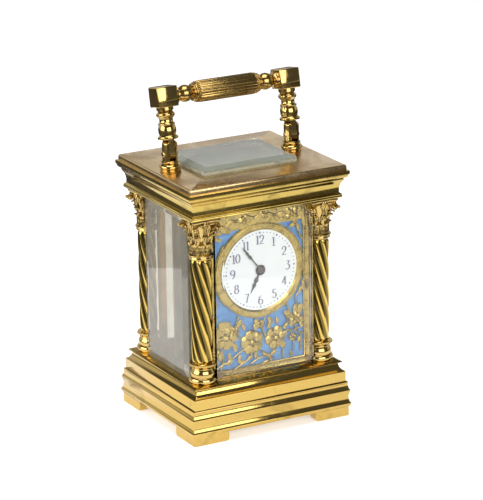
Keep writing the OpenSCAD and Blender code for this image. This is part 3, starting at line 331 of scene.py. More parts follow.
class Wire:  # one value inside a finish; plain arithmetic on it adds Math nodes
    def __init__(self, tree, socket):
        self.tree, self.socket = tree, socket

    def maths(self, kind, *values):
        node = self.tree.nodes.new("ShaderNodeMath")
        node.operation = kind
        for slotIn, value in zip(node.inputs, values):
            join(self.tree, value, slotIn)
        return Wire(self.tree, node.outputs[0])

    def __add__(self, other):
        return self.maths("ADD", self, other)

    def __radd__(self, other):
        return self.maths("ADD", other, self)

    def __sub__(self, other):
        return self.maths("SUBTRACT", self, other)

    def __rsub__(self, other):
        return self.maths("SUBTRACT", other, self)

    def __mul__(self, other):
        return self.maths("MULTIPLY", self, other)

    def __rmul__(self, other):
        return self.maths("MULTIPLY", other, self)


def join(tree, value, slotIn):
    if isinstance(value, Wire):
        tree.links.new(value.socket, slotIn)
    else:
        slotIn.default_value = value


class Finish:
    def __init__(self, name, shader="ShaderNodeBsdfPrincipled"):
        self.material = bpy.data.materials.new(name)
        self.material.use_nodes = True
        self.tree = self.material.node_tree
        self.tree.nodes.clear()
        self.end = self.tree.nodes.new("ShaderNodeOutputMaterial")
        self.shader = self.tree.nodes.new(shader)
        self.tree.links.new(self.shader.outputs[0], self.end.inputs[0])

    def node(self, kind, settings=None, inputs=None, out=0):
        made = self.tree.nodes.new(kind)
        for key, value in (settings or {}).items():
            if key == "stops":
                ramp = made.color_ramp
                while len(ramp.elements) < len(value):
                    ramp.elements.new(0.5)
                for stop, (place, colour) in zip(ramp.elements, value):
                    stop.position = place
                    stop.color = colour
            else:
                setattr(made, key, value)
        for key, value in (inputs or {}).items():
            join(self.tree, value, made.inputs[key])
        return Wire(self.tree, made.outputs[out])

    def place(self, stretch=(1, 1, 1)):
        spot = self.node("ShaderNodeTexCoord", out="Object")
        if stretch == (1, 1, 1):
            return spot
        return self.node("ShaderNodeMapping", {"vector_type": "POINT"}, {"Vector": spot, "Scale": stretch})

    def cloud(self, scale, detail=4.0, stretch=(1, 1, 1), warp=0.0):
        return self.node("ShaderNodeTexNoise", {"noise_dimensions": "3D"},
                         {"Vector": self.place(stretch), "Scale": scale, "Detail": detail, "Roughness": 0.55,
                          "Distortion": warp})

    def ramp(self, value, *stops):
        greys = [(place, (level, level, level, 1)) for place, level in stops]
        return self.node("ShaderNodeValToRGB", {"stops": greys}, {"Fac": value})

    def blend(self, share, first, second):
        return self.node("ShaderNodeMix", {"data_type": "RGBA"}, {"Factor": share, 6: first, 7: second},
                         out=2)

    def wear(self, colour, rough, bump=None, strength=0.2, deep=0.1, **plain):
        join(self.tree, colour, self.shader.inputs["Base Color"])
        join(self.tree, rough, self.shader.inputs["Roughness"])
        for key, value in plain.items():
            join(self.tree, value, self.shader.inputs[key])
        if bump is not None:
            relief = self.node("ShaderNodeBump", {},
                               {"Height": bump, "Strength": strength, "Distance": deep * mm})
            self.tree.links.new(relief.socket, self.shader.inputs["Normal"])
        return self.material


def tint(red, green, blue):
    return (red, green, blue, 1)


# the groove strength key sets how far painted shade darkens the shaft's grooves
brassSurface = {"speckScale": 1900, "scratchScale": 520, "scratchPull": 0.08, "tarnishFade": 0.2,
                "speckFrom": 0.62, "speckTo": 0.75, "scratchRough": 0.06, "grooveShadeStrength": 0.85, "deep": 0.12}


def brassFinish(name, values):
    look = Finish(name)
    own = brassSurface
    patches = look.cloud(values["patchScale"], 5, warp=0.6)
    specks = look.cloud(own["speckScale"], 3)
    scratches = (look.cloud(own["scratchScale"], 4, (1, own["scratchPull"], 1)) * 0.5
                 + look.cloud(own["scratchScale"], 4, (own["scratchPull"], 1, 1)) * 0.5)
    tarnish = look.ramp(patches, (values["tarnishFrom"], 0), (values["tarnishFrom"] + own["tarnishFade"], 1))
    colour = look.blend(tarnish * values["tarnish"], tint(*values["tone"]), tint(*values["tarnishTone"]))
    specked = look.ramp(specks, (own["speckFrom"], 0), (own["speckTo"], 1)) * values["specks"]
    colour = look.blend(specked, colour, tint(*values["speckTone"]))
    # painted shade: the groove mask darkens the twisted shaft's grooves towards a dark olive
    if "grooveShadeTone" in values:
        deep = look.node("ShaderNodeAttribute", {"attribute_name": "groove"}, out="Fac")
        dark = look.ramp(deep, (0.12, 0), (0.5, 1)) * own["grooveShadeStrength"]
        colour = look.blend(dark, colour, tint(*values["grooveShadeTone"]))
    worn = look.ramp(scratches, (0.5, 0), (0.62, 1)) * own["scratchRough"]
    rough = values["rough"] + tarnish * values["roughPatches"] + worn
    relief = scratches * 0.4 + specks * values["pits"] + patches * 0.5
    return look.wear(colour, rough, bump=relief, strength=values["bump"], deep=own["deep"], Metallic=1.0)


castBrass = brassFinish("castBrass", {
    "tone": (0.63, 0.43, 0.12), "tarnishTone": (0.32, 0.21, 0.05), "speckTone": (0.16, 0.1, 0.03),
    "patchScale": 95, "tarnishFrom": 0.56, "tarnish": 0.6, "specks": 0.3, "rough": 0.11,
    "roughPatches": 0.12, "pits": 0.35, "bump": 0.2})
# a darker copy of the cast brass: painted shade for the cornice
shadedCorniceBrass = brassFinish("shadedCorniceBrass", {
    "tone": (0.58, 0.42, 0.11), "tarnishTone": (0.24, 0.16, 0.04), "speckTone": (0.14, 0.09, 0.03),
    "patchScale": 110, "tarnishFrom": 0.5, "tarnish": 0.65, "specks": 0.3, "rough": 0.12,
    "roughPatches": 0.12, "pits": 0.35, "bump": 0.2})
turnedBrass = brassFinish("turnedBrass", {
    "tone": (0.6, 0.42, 0.14), "tarnishTone": (0.26, 0.17, 0.05), "speckTone": (0.25, 0.15, 0.04),
    "patchScale": 160, "tarnishFrom": 0.57, "tarnish": 0.5, "specks": 0.2, "rough": 0.08,
    "roughPatches": 0.1, "pits": 0.2, "bump": 0.12})
# the shaft's brass carries painted shade in its grooves through the groove tone
shaftBrass = brassFinish("shaftBrass", {
    "tone": (0.72, 0.5, 0.12), "tarnishTone": (0.32, 0.21, 0.05), "speckTone": (0.2, 0.12, 0.04),
    "grooveShadeTone": (0.09, 0.065, 0.02), "patchScale": 160, "tarnishFrom": 0.55, "tarnish": 0.5, "specks": 0.2,
    "rough": 0.09, "roughPatches": 0.1, "pits": 0.2, "bump": 0.12})
carvedBrass = brassFinish("carvedBrass", {
    "tone": (0.62, 0.44, 0.15), "tarnishTone": (0.15, 0.1, 0.04), "speckTone": (0.12, 0.08, 0.04),
    "patchScale": 300, "tarnishFrom": 0.48, "tarnish": 0.7, "specks": 0.3, "rough": 0.14,
    "roughPatches": 0.14, "pits": 0.3, "bump": 0.15})
agedTopBrass = brassFinish("agedTopBrass", {
    "tone": (0.8, 0.58, 0.28), "tarnishTone": (0.6, 0.41, 0.22), "speckTone": (0.22, 0.16, 0.1),
    "patchScale": 55, "tarnishFrom": 0.45, "tarnish": 0.7, "specks": 0.35, "rough": 0.2,
    "roughPatches": 0.14, "pits": 0.3, "bump": 0.15})
gripBrass = brassFinish("gripBrass", {
    "tone": (0.56, 0.37, 0.12), "tarnishTone": (0.26, 0.16, 0.05), "speckTone": (0.1, 0.06, 0.02),
    "patchScale": 240, "tarnishFrom": 0.48, "tarnish": 0.6, "specks": 0.3, "rough": 0.16,
    "roughPatches": 0.12, "pits": 0.2, "bump": 0.05})
giltFret = brassFinish("giltFret", {
    "tone": (0.5, 0.36, 0.11), "tarnishTone": (0.26, 0.18, 0.05), "speckTone": (0.2, 0.13, 0.05),
    "patchScale": 300, "tarnishFrom": 0.45, "tarnish": 0.7, "specks": 0.35, "rough": 0.2,
    "roughPatches": 0.1, "pits": 0.8, "bump": 0.3})
movementBrass = brassFinish("movementBrass", {
    "tone": (0.84, 0.62, 0.26), "tarnishTone": (0.6, 0.4, 0.16), "speckTone": (0.3, 0.2, 0.08),
    "patchScale": 180, "tarnishFrom": 0.55, "tarnish": 0.4, "specks": 0.3, "rough": 0.28,
    "roughPatches": 0.1, "pits": 0.5, "bump": 0.2})


def steelFinish(name, tone, spotTone, rough):
    look = Finish(name)
    grain = look.cloud(900, 4, (1, 0.05, 1))
    spots = look.ramp(look.cloud(260, 4), (0.55, 0), (0.7, 1))
    colour = look.blend(spots * 0.6, tint(*tone), tint(*spotTone))
    rough = rough + spots * 0.12 + grain * 0.06
    return look.wear(colour, rough, bump=grain, strength=0.12, deep=0.05, Metallic=1.0)


bluedSteel = steelFinish("bluedSteel", (0.12, 0.11, 0.11), (0.2, 0.15, 0.1), 0.24)
brightSteel = steelFinish("brightSteel", (0.56, 0.56, 0.57), (0.34, 0.32, 0.3), 0.2)


def enamelFinish():
    look = Finish("whiteEnamel")
    bloom = look.cloud(70, 4)
    specks = look.ramp(look.cloud(2100, 2), (0.72, 0), (0.8, 1))
    bloomed = look.ramp(bloom, (0.4, 0), (0.7, 1)) * 0.6
    colour = look.blend(bloomed, tint(0.73, 0.73, 0.74), tint(0.7, 0.7, 0.69))
    colour = look.blend(specks * 0.12, colour, tint(0.5, 0.48, 0.42))
    return look.wear(colour, 0.1 + bloom * 0.08, bump=bloom, strength=0.05, deep=0.1, Metallic=0.0)


def lacquerFinish():
    look = Finish("blueLacquer")
    mottle = look.cloud(240, 5)
    share = look.ramp(mottle, (0.35, 0), (0.7, 1))
    colour = look.blend(share, tint(0.12, 0.28, 0.54), tint(0.06, 0.16, 0.38))
    return look.wear(colour, 0.3 + mottle * 0.15, bump=mottle, strength=0.15, deep=0.08, Metallic=0.0)


def paintFinish():
    look = Finish("numeralPaint")
    fade = look.cloud(900, 3)
    colour = look.blend(look.ramp(fade, (0.35, 0), (0.65, 1)), tint(0.1, 0.08, 0.15), tint(0.22, 0.19, 0.3))
    return look.wear(colour, 0.3 + fade * 0.1, Metallic=0.0)


def glassFinish(name, tone):
    look = Finish(name, "ShaderNodeBsdfGlass")
    smear = look.ramp(look.cloud(60, 3), (0.45, 0), (0.8, 0.05))
    join(look.tree, tint(*tone), look.shader.inputs["Color"])
    join(look.tree, smear, look.shader.inputs["Roughness"])
    join(look.tree, 1.5, look.shader.inputs["IOR"])
    clear = look.node("ShaderNodeBsdfTransparent", {}, {"Color": tint(*tone)})
    lamp = look.node("ShaderNodeLightPath", out="Is Shadow Ray")
    solid = Wire(look.tree, look.shader.outputs[0])
    both = look.node("ShaderNodeMixShader", {}, {0: lamp, 1: solid, 2: clear})
    look.tree.links.new(both.socket, look.end.inputs[0])
    return look.material


def hazyGlass(name, tone, dusty, clear):  # old glass with a dusty surface
    look = Finish(name)
    dust = look.cloud(130, 5)
    colour = look.blend(look.ramp(dust, (0.35, 0), (0.7, 1)), tint(*tone), tint(*dusty))
    return look.wear(colour, 0.02 + dust * 0.04, Metallic=0.0, IOR=1.5, **{"Transmission Weight": clear})


whiteEnamel = enamelFinish()
blueLacquer = lacquerFinish()
numeralPaint = paintFinish()
clearGlass = glassFinish("clearGlass", (0.98, 0.99, 0.985))
topGlassLook = hazyGlass("topGlassLook", (0.87, 0.95, 0.86), (0.88, 0.85, 0.72), 0.8)
sideGlassLook = hazyGlass("sideGlassLook", (0.66, 0.64, 0.55), (0.56, 0.53, 0.45), 0.8)
print("finishes made")


# base: two arms make each bracket foot, and a block inside each corner takes the tie rod
ledge = 3.1  # the base moulding's top edge lies this far inside the foot line
base = {"footTop": 3.4, "footLength": 14.6, "footDepth": 4.5, "footRound": 1.0, "endRound": 1.2, "wall": 3.4,
        "mitre": 0.22, "edge": 0.1, "block": 9.5, "blockBite": 0.5, "blockLow": 15.0, "blockHigh": 19.2}
plinth = {"mitre": 0.2, "edge": 0.06, "gap": 0.1, "topIn": 3.0,
          "side": [(ledge, 0), (1.98, 0.45), (1.84, 0.6), (1.98, 0.75)]}
footTop = base["footTop"]
baseRise = baseHigh.z - footTop
baseSide = ([(-0.1, 0), (0.4, 0.05)] + bendLine((0.5, 0.09), (-0.25, 0.13), (-0.3, 0.25)) + [(-0.3, 0.25)]
            + bendLine((0.3, 0.39), (-0.4, 0.43), (-0.5, 0.54))
            + bendLine((-0.5, 0.54), (-0.2, 0.565), (-0.5, 0.59))
            + [(-1.05, 0.595), (-1.05, 0.82)] + bendLine((-1.3, 0.83), (-2.9, 0.87), (-ledge, 1), 8)
            + [(-ledge, 1)])
hollowW, hollowD = halfW - ledge - base["wall"], halfD - ledge - base["wall"]


# the first arm runs along +X from the corner, the second along +Y and butts against it
def footArm(values, second):
    start = values["footDepth"] if second else 0
    arm = bar((start, 0, 0), (values["footLength"], values["footDepth"], values["footTop"] + 0.2))
    low = [e for e in arm.edges if all(v.co.x > start + 1 and v.co.z < 1 for v in e.verts)]
    roundEdges(arm, low, values["endRound"], 6)
    if second:
        return placed(arm, swapXY)
    post = [e for e in arm.edges if all(abs(v.co.x) < 0.01 and abs(v.co.y) < 0.01 for v in e.verts)]
    return roundEdges(arm, post, values["footRound"], 5)


levels = [around(halfW + x, halfD + x, footTop + y * baseRise) for x, y in baseSide]
levels += [around(hollowW, hollowD, baseHigh.z), around(hollowW, hollowD, footTop)]
parts = [softCorners(rectLoops(levels), base["mitre"])]
half = base["block"] / 2
for depth, side in corners:
    toCorner = Matrix.Translation((signOf[side] * halfW, signOf[depth] * halfD, 0))
    inwards = Matrix.Diagonal((-signOf[side], -signOf[depth], 1, 1))
    for second in (False, True):
        parts.append(closeUp(placed(footArm(base, second), toCorner @ inwards)))
    x = signOf[side] * (hollowW + base["blockBite"] - half)
    y = signOf[depth] * (hollowD + base["blockBite"] - half)
    parts.append(bar((x - half, y - half, base["blockLow"]), (x + half, y + half, base["blockHigh"])))
makePiece("baseMoulding", gather(parts), "case", castBrass, ["base_moulding"],
          bevel=base["edge"])

levels = [around(hollowW - plinth["gap"], hollowD - plinth["gap"], z) for z in (plinthLow.z, baseHigh.z)]
levels += [around(halfW - inset, halfD - inset, baseHigh.z + z) for inset, z in plinth["side"]]
levels.append(around(halfW - plinth["topIn"], halfD - plinth["topIn"], plinthHigh.z))
makePiece("plinthSlab", softCorners(rectLoops(levels, False), plinth["mitre"]), "case", castBrass,
          ["base_plate"], bevel=plinth["edge"])
print("base done")


cornice = {"well": (21.9, 17.4), "mitre": 0.2, "edge": 0.09}
rise = corniceHigh.z - corniceLow.z
corniceSide = (bendLine((-2.9, 0), (-1.1, 0.03), (-1.85, 0.11))
               + bendLine((-1.85, 0.11), (-1.5, 0.18), (-2.9, 0.2), 4)
               + [(-2.6, 0.21)] + bendLine((-2.6, 0.32), (-2.5, 0.55), (-1.15, 0.66), 8)
               + [(-1.15, 0.69), (-1.5, 0.7), (-1.5, 0.72)]
               + bendLine((-1.15, 0.73), (-0.2, 0.75), (0, 0.83), 7)
               + [(0, 0.86), (0.34, 0.88), (0.34, 1)])
levels = [around(halfW + x, halfD + x, corniceLow.z + y * rise) for x, y in corniceSide]
levels += [around(*cornice["well"], corniceHigh.z), around(*cornice["well"], corniceLow.z)]
# the cornice takes the darker brass copy, which paints shade on it
makePiece("corniceMoulding", softCorners(rectLoops(levels), cornice["mitre"]), "case", shadedCorniceBrass,
          ["cornice_frame"], bevel=cornice["edge"])

topPlate = {"window": (16.5, 11.5), "glassSeat": (19.6, 14.6), "sink": 0.4, "mitre": 0.3, "edge": 0.06}
thick = topHigh.z - topLow.z
levels = [around(halfW + x, halfD + x, topLow.z + y * thick) for x, y in
          [(-0.53, 0), (-0.53, 0.28)] + bendLine((-0.53, 0.34), (-0.5, 0.95), (-0.94, 1), 6) + [(-0.98, 1)]]
seatZ = topHigh.z - topPlate["sink"]
levels += [around(*topPlate["glassSeat"], topHigh.z), around(*topPlate["glassSeat"], seatZ),
           around(*topPlate["window"], seatZ), around(*topPlate["window"], topLow.z)]
makePiece("topPlate", softCorners(rectLoops(levels), topPlate["mitre"], 3), "case", agedTopBrass,
          ["top_plate"], bevel=topPlate["edge"])
print("cornice and top done")


column = {"ribs": 8, "ribDepth": 0.78, "turn": 180, "footLength": 1.3, "core": 3.35,
          "pointsPerRib": 9, "rings": 46}
shaftR = (shaftHigh.x - shaftLow.x) / 2
shaftTall = shaftHigh.z - shaftLow.z


def twistedShaft(values, tall):
    bm = bmesh.new()
    groove = bm.verts.layers.float.new("groove")
    points = values["ribs"] * values["pointsPerRib"]
    ring = bmesh.ops.create_circle(bm, segments=points, radius=shaftR)["verts"]
    angles = [math.atan2(v.co.y, v.co.x) for v in ring]
    edges = list(bm.edges)
    bmesh.ops.edgeloop_fill(bm, edges=edges)

    def shape(verts, z):
        turn = -math.radians(values["turn"]) * z / tall
        end = min(z, tall - z)
        close = math.sqrt(1 - (1 - min(1, end / values["footLength"])) ** 2)
        for v, own in zip(verts, angles):
            deep = (1 - abs(math.cos(values["ribs"] * own / 2))) ** 0.8
            r = shaftR - values["ribDepth"] * deep
            # the groove depth is kept as a mask for the painted shade in the grooves
            v[groove] = deep * close
            r = values["core"] + (r - values["core"]) * close
            v.co = (r * math.cos(own + turn), r * math.sin(own + turn), z)

    shape(ring, 0.0)
    nearEnd = [0.05, 0.15, 0.35, 0.7, 1.2]  # the rounded ends have closer rings
    plain = tall - 2 * nearEnd[-1]
    stops = nearEnd + [nearEnd[-1] + plain * i / values["rings"] for i in range(1, values["rings"] + 1)]
    stops += [tall - z for z in nearEnd[-2::-1]] + [tall]
    for z in stops:
        edges = pulledEdges(bm, edges)
        loop = {v for e in edges for v in e.verts}
        ring = [min(loop, key=lambda v: (v.co - old.co).length_squared) for old in ring]
        shape(ring, z)
    bmesh.ops.edgeloop_fill(bm, edges=edges)
    bmesh.ops.recalc_face_normals(bm, faces=bm.faces)
    return bm


columnFoot = {"torus": 5.32, "dish": 4.95, "beads": 34, "bead": 0.3}
# each leaf: its foot and its length as shares of the height, its half width, its curl
capital = {"leaves": 8, "lowerLeaf": (0.15, 0.33, 1.75, 0.85), "upperLeaf": (0.26, 0.44, 1.7, 1.25),
           "cornerLeaf": (0.46, 0.3, 1.3, 1.7), "abacus": 11.6, "abacusThick": 2.2, "abacusDip": 0.17,
           "cornerCut": 0.93, "volute": 1.25, "voluteEye": 6.6, "flower": 1.25}


def columnBase(values, tall):
    r = values["torus"]
    outline = [(0, 0), (r - 0.5, 0)] + bow((r - 0.5, 0), (r - 0.45, 0.31 * tall), 0.52, 10)
    outline += [(r - 0.5, 0.315 * tall), (r - 0.95, 0.33 * tall), (r - 0.95, 0.36 * tall)]
    outline += bow((r - 0.75, 0.37 * tall), (r - 1.35, 0.7 * tall), 0.3, 9)
    outline += bow((r - 1.4, 0.71 * tall), (r - 1.45, 0.79 * tall), 0.24, 5)
    outline += bow((r - 1.5, 0.8 * tall), (values["dish"] - 0.1, 0.88 * tall), -0.2, 5)
    outline += [(values["dish"], 0.9 * tall), (values["dish"] + 0.05, 0.97 * tall),
                (values["dish"] - 0.2, 0.985 * tall), (shaftR - 0.2, 0.95 * tall), (shaftR - 0.6, tall),
                (0, tall)]
    parts = [turned(outline, 64)]
    for i in range(values["beads"]):
        angle = fullTurn * i / values["beads"]
        reach = values["dish"] - 0.02
        parts.append(ball(values["bead"], (reach * math.cos(angle), reach * math.sin(angle), 0.91 * tall)))
    return gather(parts)


def acanthus(angle0, leaf, capTall, bell):  # one leaf laid on the bell, its tip rolled outwards
    low, tall, span, curl = leaf[0] * capTall, leaf[1] * capTall, leaf[2], leaf[3]
    bm = bmesh.new()
    bmesh.ops.create_grid(bm, x_segments=8, y_segments=13, size=1)
    for v in bm.verts:
        across, along = v.co.x, (v.co.y + 1) / 2
        roll = max(0.0, (along - 0.62) / 0.38)
        lobe = 0.74 + 0.26 * abs(math.sin(3.6 * math.pi * along))
        half = span * (1 - 0.3 * along) * lobe * (1 - 0.55 * roll ** 2)
        height = low + tall * (along - 0.16 * roll ** 2.2)
        vein = 0.14 * math.cos(3 * math.pi * across) + 0.3 * (1 - abs(across)) - 0.16
        reach = bell(height) + 0.22 + vein * (1 - 0.4 * roll) + curl * math.sin(0.5 * math.pi * roll) ** 1.5
        reach -= 0.25 * across * across * roll
        swing = angle0 + across * half / max(reach, 1)
        v.co = (reach * math.cos(swing), reach * math.sin(swing), height - 0.9 * curl * roll ** 4 * 0.5)
    bmesh.ops.solidify(bm, geom=list(bm.faces), thickness=0.22)
    bmesh.ops.recalc_face_normals(bm, faces=bm.faces)
    return bm


def abacusSlab(values, tall):
    half = values["abacus"] / 2
    bm = bmesh.new()
    bmesh.ops.create_circle(bm, cap_ends=True, segments=4, radius=half * math.sqrt(2),
                            matrix=Matrix.Rotation(fullTurn / 8, 4, "Z"))
    bmesh.ops.subdivide_edges(bm, edges=list(bm.edges), cuts=13, use_grid_fill=False)
    for v in bm.verts:
        x, y = v.co.x / half, v.co.y / half
        onX, onY = abs(x) > 0.999, abs(y) > 0.999
        if onX and not onY:
            v.co.x *= 1 - values["abacusDip"] * (1 - y * y)
        if onY and not onX:
            v.co.y *= 1 - values["abacusDip"] * (1 - x * x)
        if onX and onY:
            v.co *= values["cornerCut"]
    face = list(bm.faces)[0]
    lastGrow = 1
    steps = [(0.9, 0.0), (0.94, 0.3), (0.9, 0.5), (0.9, 0.75), (0.98, 1.1), (1.0, 1.5),
             (1.0, values["abacusThick"])]
    for grow, up in steps:
        if up:
            made = bmesh.ops.extrude_face_region(bm, geom=[face])["geom"]
            face = [g for g in made if isinstance(g, bmesh.types.BMFace)][0]
        for v in face.verts:
            v.co.z = tall - values["abacusThick"] + up
        share = grow / lastGrow
        bmesh.ops.scale(bm, vec=(share, share, 1), verts=list(face.verts))
        lastGrow = grow
    bmesh.ops.recalc_face_normals(bm, faces=bm.faces)
    return bm


def volutePair(angle0, values, tall):
    parts = []
    spiral = values["volute"]
    eye = Vector((values["voluteEye"], 0, tall - values["abacusThick"] - spiral - 0.15))
    for side in (-1, 1):
        knots, radii = [(4.4, 0.9 * side, tall * 0.56), (4.9, 0.75 * side, tall * 0.68)], [0.16, 0.24]
        for i in range(19):
            share = i / 18
            swing = math.radians(200 - 560 * share)
            r = spiral * (1 - 0.78 * share)
            knots.append((eye.x + r * math.cos(swing) - 0.1, side * (0.42 + 0.28 * share),
                          eye.z + r * math.sin(swing) + 0.1))
            radii.append(0.34 - 0.12 * share)
        run = smoothRun(knots, 3)
        thick = [radii[min(len(radii) - 1, i // 3)] for i in range(len(run))]
        parts.append(strand(run, thick))
        parts.append(ball(0.55, (eye.x, side * 0.75, eye.z), True))
    parts.append(ball(0.62, (eye.x + spiral + 0.15, 0, eye.z + 0.2), True))
    return placed(gather(parts), Matrix.Rotation(angle0, 4, "Z"))


def capitalShape(values, tall):
    r = shaftR
    bellTop = tall - values["abacusThick"] + 0.1
    outline = [(0, 0), (r - 0.1, 0)] + bow((r - 0.1, 0), (r + 0.1, 0.07 * tall), 0.5, 7)
    outline += bow((r + 0.25, 0.075 * tall), (r + 0.25, 0.14 * tall), 0.55, 7) + [(r - 0.05, 0.15 * tall)]
    outline += bow((r - 0.3, 0.17 * tall), (r + 0.9, bellTop), -0.35, 10) + [(r + 0.9, bellTop), (0, bellTop)]

    def bell(z):
        share = max(0, min(1, (z - 0.17 * tall) / (bellTop - 0.17 * tall)))
        return r - 0.3 + 1.2 * share * share

    parts = [turned(outline), abacusSlab(values, tall)]
    for i in range(values["leaves"]):
        angle = fullTurn * i / values["leaves"]
        parts.append(acanthus(angle + fullTurn / 16, values["lowerLeaf"], tall, bell))
        parts.append(acanthus(angle, values["upperLeaf"], tall, bell))
    for i in range(4):
        diagonal = fullTurn * (i + 0.5) / 4
        parts.append(acanthus(diagonal, values["cornerLeaf"], tall, bell))
        parts.append(volutePair(diagonal, values, tall))
        flower = blossom(values["flower"], 5)
        side = fullTurn * i / 4
        stand = Matrix.Rotation(side, 4, "Z") @ Matrix.Translation((values["abacus"] * 0.42, 0, tall - 1.7))
        parts.append((flower, stand @ Matrix.Rotation(fullTurn / 4, 4, "Y")))
        for lean in (-1, 1):
            stalk = smoothRun([(r + 0.5, lean * 0.8, 0.5 * tall), (r + 0.75, lean * 0.55, 0.66 * tall),
                               (r + 1.25, lean * 0.95, 0.78 * tall), (r + 1.35, lean * 1.45, 0.8 * tall),
                               (r + 1.3, lean * 1.5, 0.75 * tall)], 4)
            thinning = [0.26 - 0.006 * k for k in range(len(stalk))]
            parts.append((strand(stalk, thinning), Matrix.Rotation(side, 4, "Z")))
    return gather(parts)


doorLow, doorHigh = boxOf("door_frame")
# what the rear columns leave free for the door
doorRoom = {"side": 0.25, "front": 0.1, "reach": 60, "tall": 120}
for depth, side in corners:
    tag = depth + "_" + side
    shaftSpot = middleOf("column_shaft_" + tag)
    footLow, footHigh = boxOf("column_base_" + tag)
    spot = Matrix.Translation((shaftSpot.x, shaftSpot.y, footLow.z))
    turnedFoot = placed(columnBase(columnFoot, footHigh.z - footLow.z), spot)
    footPiece = makePiece("columnBase_" + tag, turnedFoot, "case", turnedBrass,
                          ["column_base_" + tag], smooth=45)
    spot = Matrix.Translation((shaftSpot.x, shaftSpot.y, shaftLow.z))
    makePiece("columnShaft_" + tag, placed(twistedShaft(column, shaftTall), spot), "case", shaftBrass,
              ["column_shaft_" + tag], smooth=50)
    spot = Matrix.Translation((shaftSpot.x, shaftSpot.y, capitalLow.z))
    carved = placed(capitalShape(capital, capitalHigh.z - capitalLow.z), spot)
    capPiece = makePiece("capital_" + tag + "_carved", carved, "case", carvedBrass,
                         ["capital_" + tag], smooth=45)
    if depth == "rear":
        edge = doorHigh.x + doorRoom["side"]
        left, right = (0, edge) if side == "right" else (-edge, 0)
        low, high = (left, doorLow.y - doorRoom["front"], 0), (right, doorRoom["reach"], doorRoom["tall"])
        for piece in (footPiece, capPiece):
            cutAway(piece, low, high)
print("columns done")


leanAngle = 11  # the handle rests leaning back
legReach = 21.0  # from the pins to the middle of the grip
lean = Matrix.Translation((0, 0, pinZ)) @ Matrix.Rotation(-math.radians(leanAngle), 4, "X")
post = {"fork": 2.85, "slot": 1.35, "rise": pinZ - topHigh.z, "dome": 5.2, "edge": 0.08}
leg = {"block": 8.3, "blockTall": 7.5, "foot": 5.4, "chamfer": 0.45, "tangHalf": (1.2, 2.4), "tangRound": 2.3}
grip = {"radius": 4.05, "reeds": 20, "half": 12.0, "reedDepth": 0.3, "pointsPerReed": 6, "endDrop": 0.45,
        "beads": 30, "bead": 0.36, "beadRing": 3.58}


def handlePost(values):
    fork, rise = values["fork"], values["rise"]
    parts = [turned([(0, 0), (3.75, 0)] + bow((3.75, 0), (3.7, 0.4), 0.12, 4) + [(3.5, 0.5)]
                    + bow((3.5, 0.55), (3.05, 2.55), 0.78, 10) + [(2.9, 2.65)]
                    + bow((3.0, 2.75), (3.0, 3.55), 0.5, 7)
                    + [(fork, 3.6), (fork, 3.75), (0, 3.75)])]
    top = rise + values["dome"]
    for side in (-1, 1):
        ear = turned([(0, 3.3), (fork, 3.3), (fork, top - 1.35)]
                     + bendLine((fork, top - 1.35), (fork - 0.1, top - 0.2), (0, top), 8) + [(0, top)])
        whole = ear.verts[:] + ear.edges[:] + ear.faces[:]
        cut = bmesh.ops.bisect_plane(ear, geom=whole, plane_co=(side * values["slot"], 0, 0),
                                     plane_no=(side, 0, 0), clear_inner=True)["geom_cut"]
        bmesh.ops.edgeloop_fill(ear, edges=[g for g in cut if isinstance(g, bmesh.types.BMEdge)])
        parts.append(closeUp(ear))
        head = turned([(0, 0.42)] + bendLine((0, 0.42), (1.15, 0.4), (1.2, 0), 5)
                      + [(1.2, 0), (1.2, -0.2), (0, -0.2)], 20)
        outwards = Matrix.Rotation(side * fullTurn / 4, 4, "Y")
        parts.append((head, Matrix.Translation((side * (fork - 0.12), 0, rise)) @ outwards))
    return gather(parts)


def handleLeg(values, reach):
    blockLow = reach - values["blockTall"] / 2
    tall = blockLow - values["foot"]
    outline = [(0, 0), (3.6, 0)] + bow((3.6, 0), (3.55, 0.11 * tall), 0.22, 5) + [(3.0, 0.125 * tall)]
    outline += bow((3.0, 0.13 * tall), (3.0, 0.42 * tall), 0.32, 8)
    outline += bow((2.9, 0.43 * tall), (2.9, 0.51 * tall), 0.3, 5)
    outline += bow((2.6, 0.52 * tall), (2.6, 0.66 * tall), -0.12, 6)
    outline += bow((2.8, 0.67 * tall), (2.9, 0.84 * tall), 0.6, 8)
    outline += [(2.7, 0.85 * tall), (2.75, 0.88 * tall), (3.1, 0.9 * tall), (3.15, tall), (3.15, tall + 0.1),
                (0, tall + 0.1)]
    tangW, tangD = values["tangHalf"]
    tang = bar((-tangW, -tangD, -tangD), (tangW, tangD, 6))
    low = [e for e in tang.edges
           if all(v.co.z < -1 for v in e.verts) and abs(e.verts[0].co.y - e.verts[1].co.y) < 0.1]
    roundEdges(tang, low, values["tangRound"], 8)
    half, halfTall = values["block"] / 2, values["blockTall"] / 2
    head = bar((-half, -halfTall, blockLow), (half, halfTall, blockLow + values["blockTall"]))
    roundEdges(head, list(head.edges), values["chamfer"], 3)
    return gather([(turned(outline), Matrix.Translation((0, 0, values["foot"]))), tang, head])


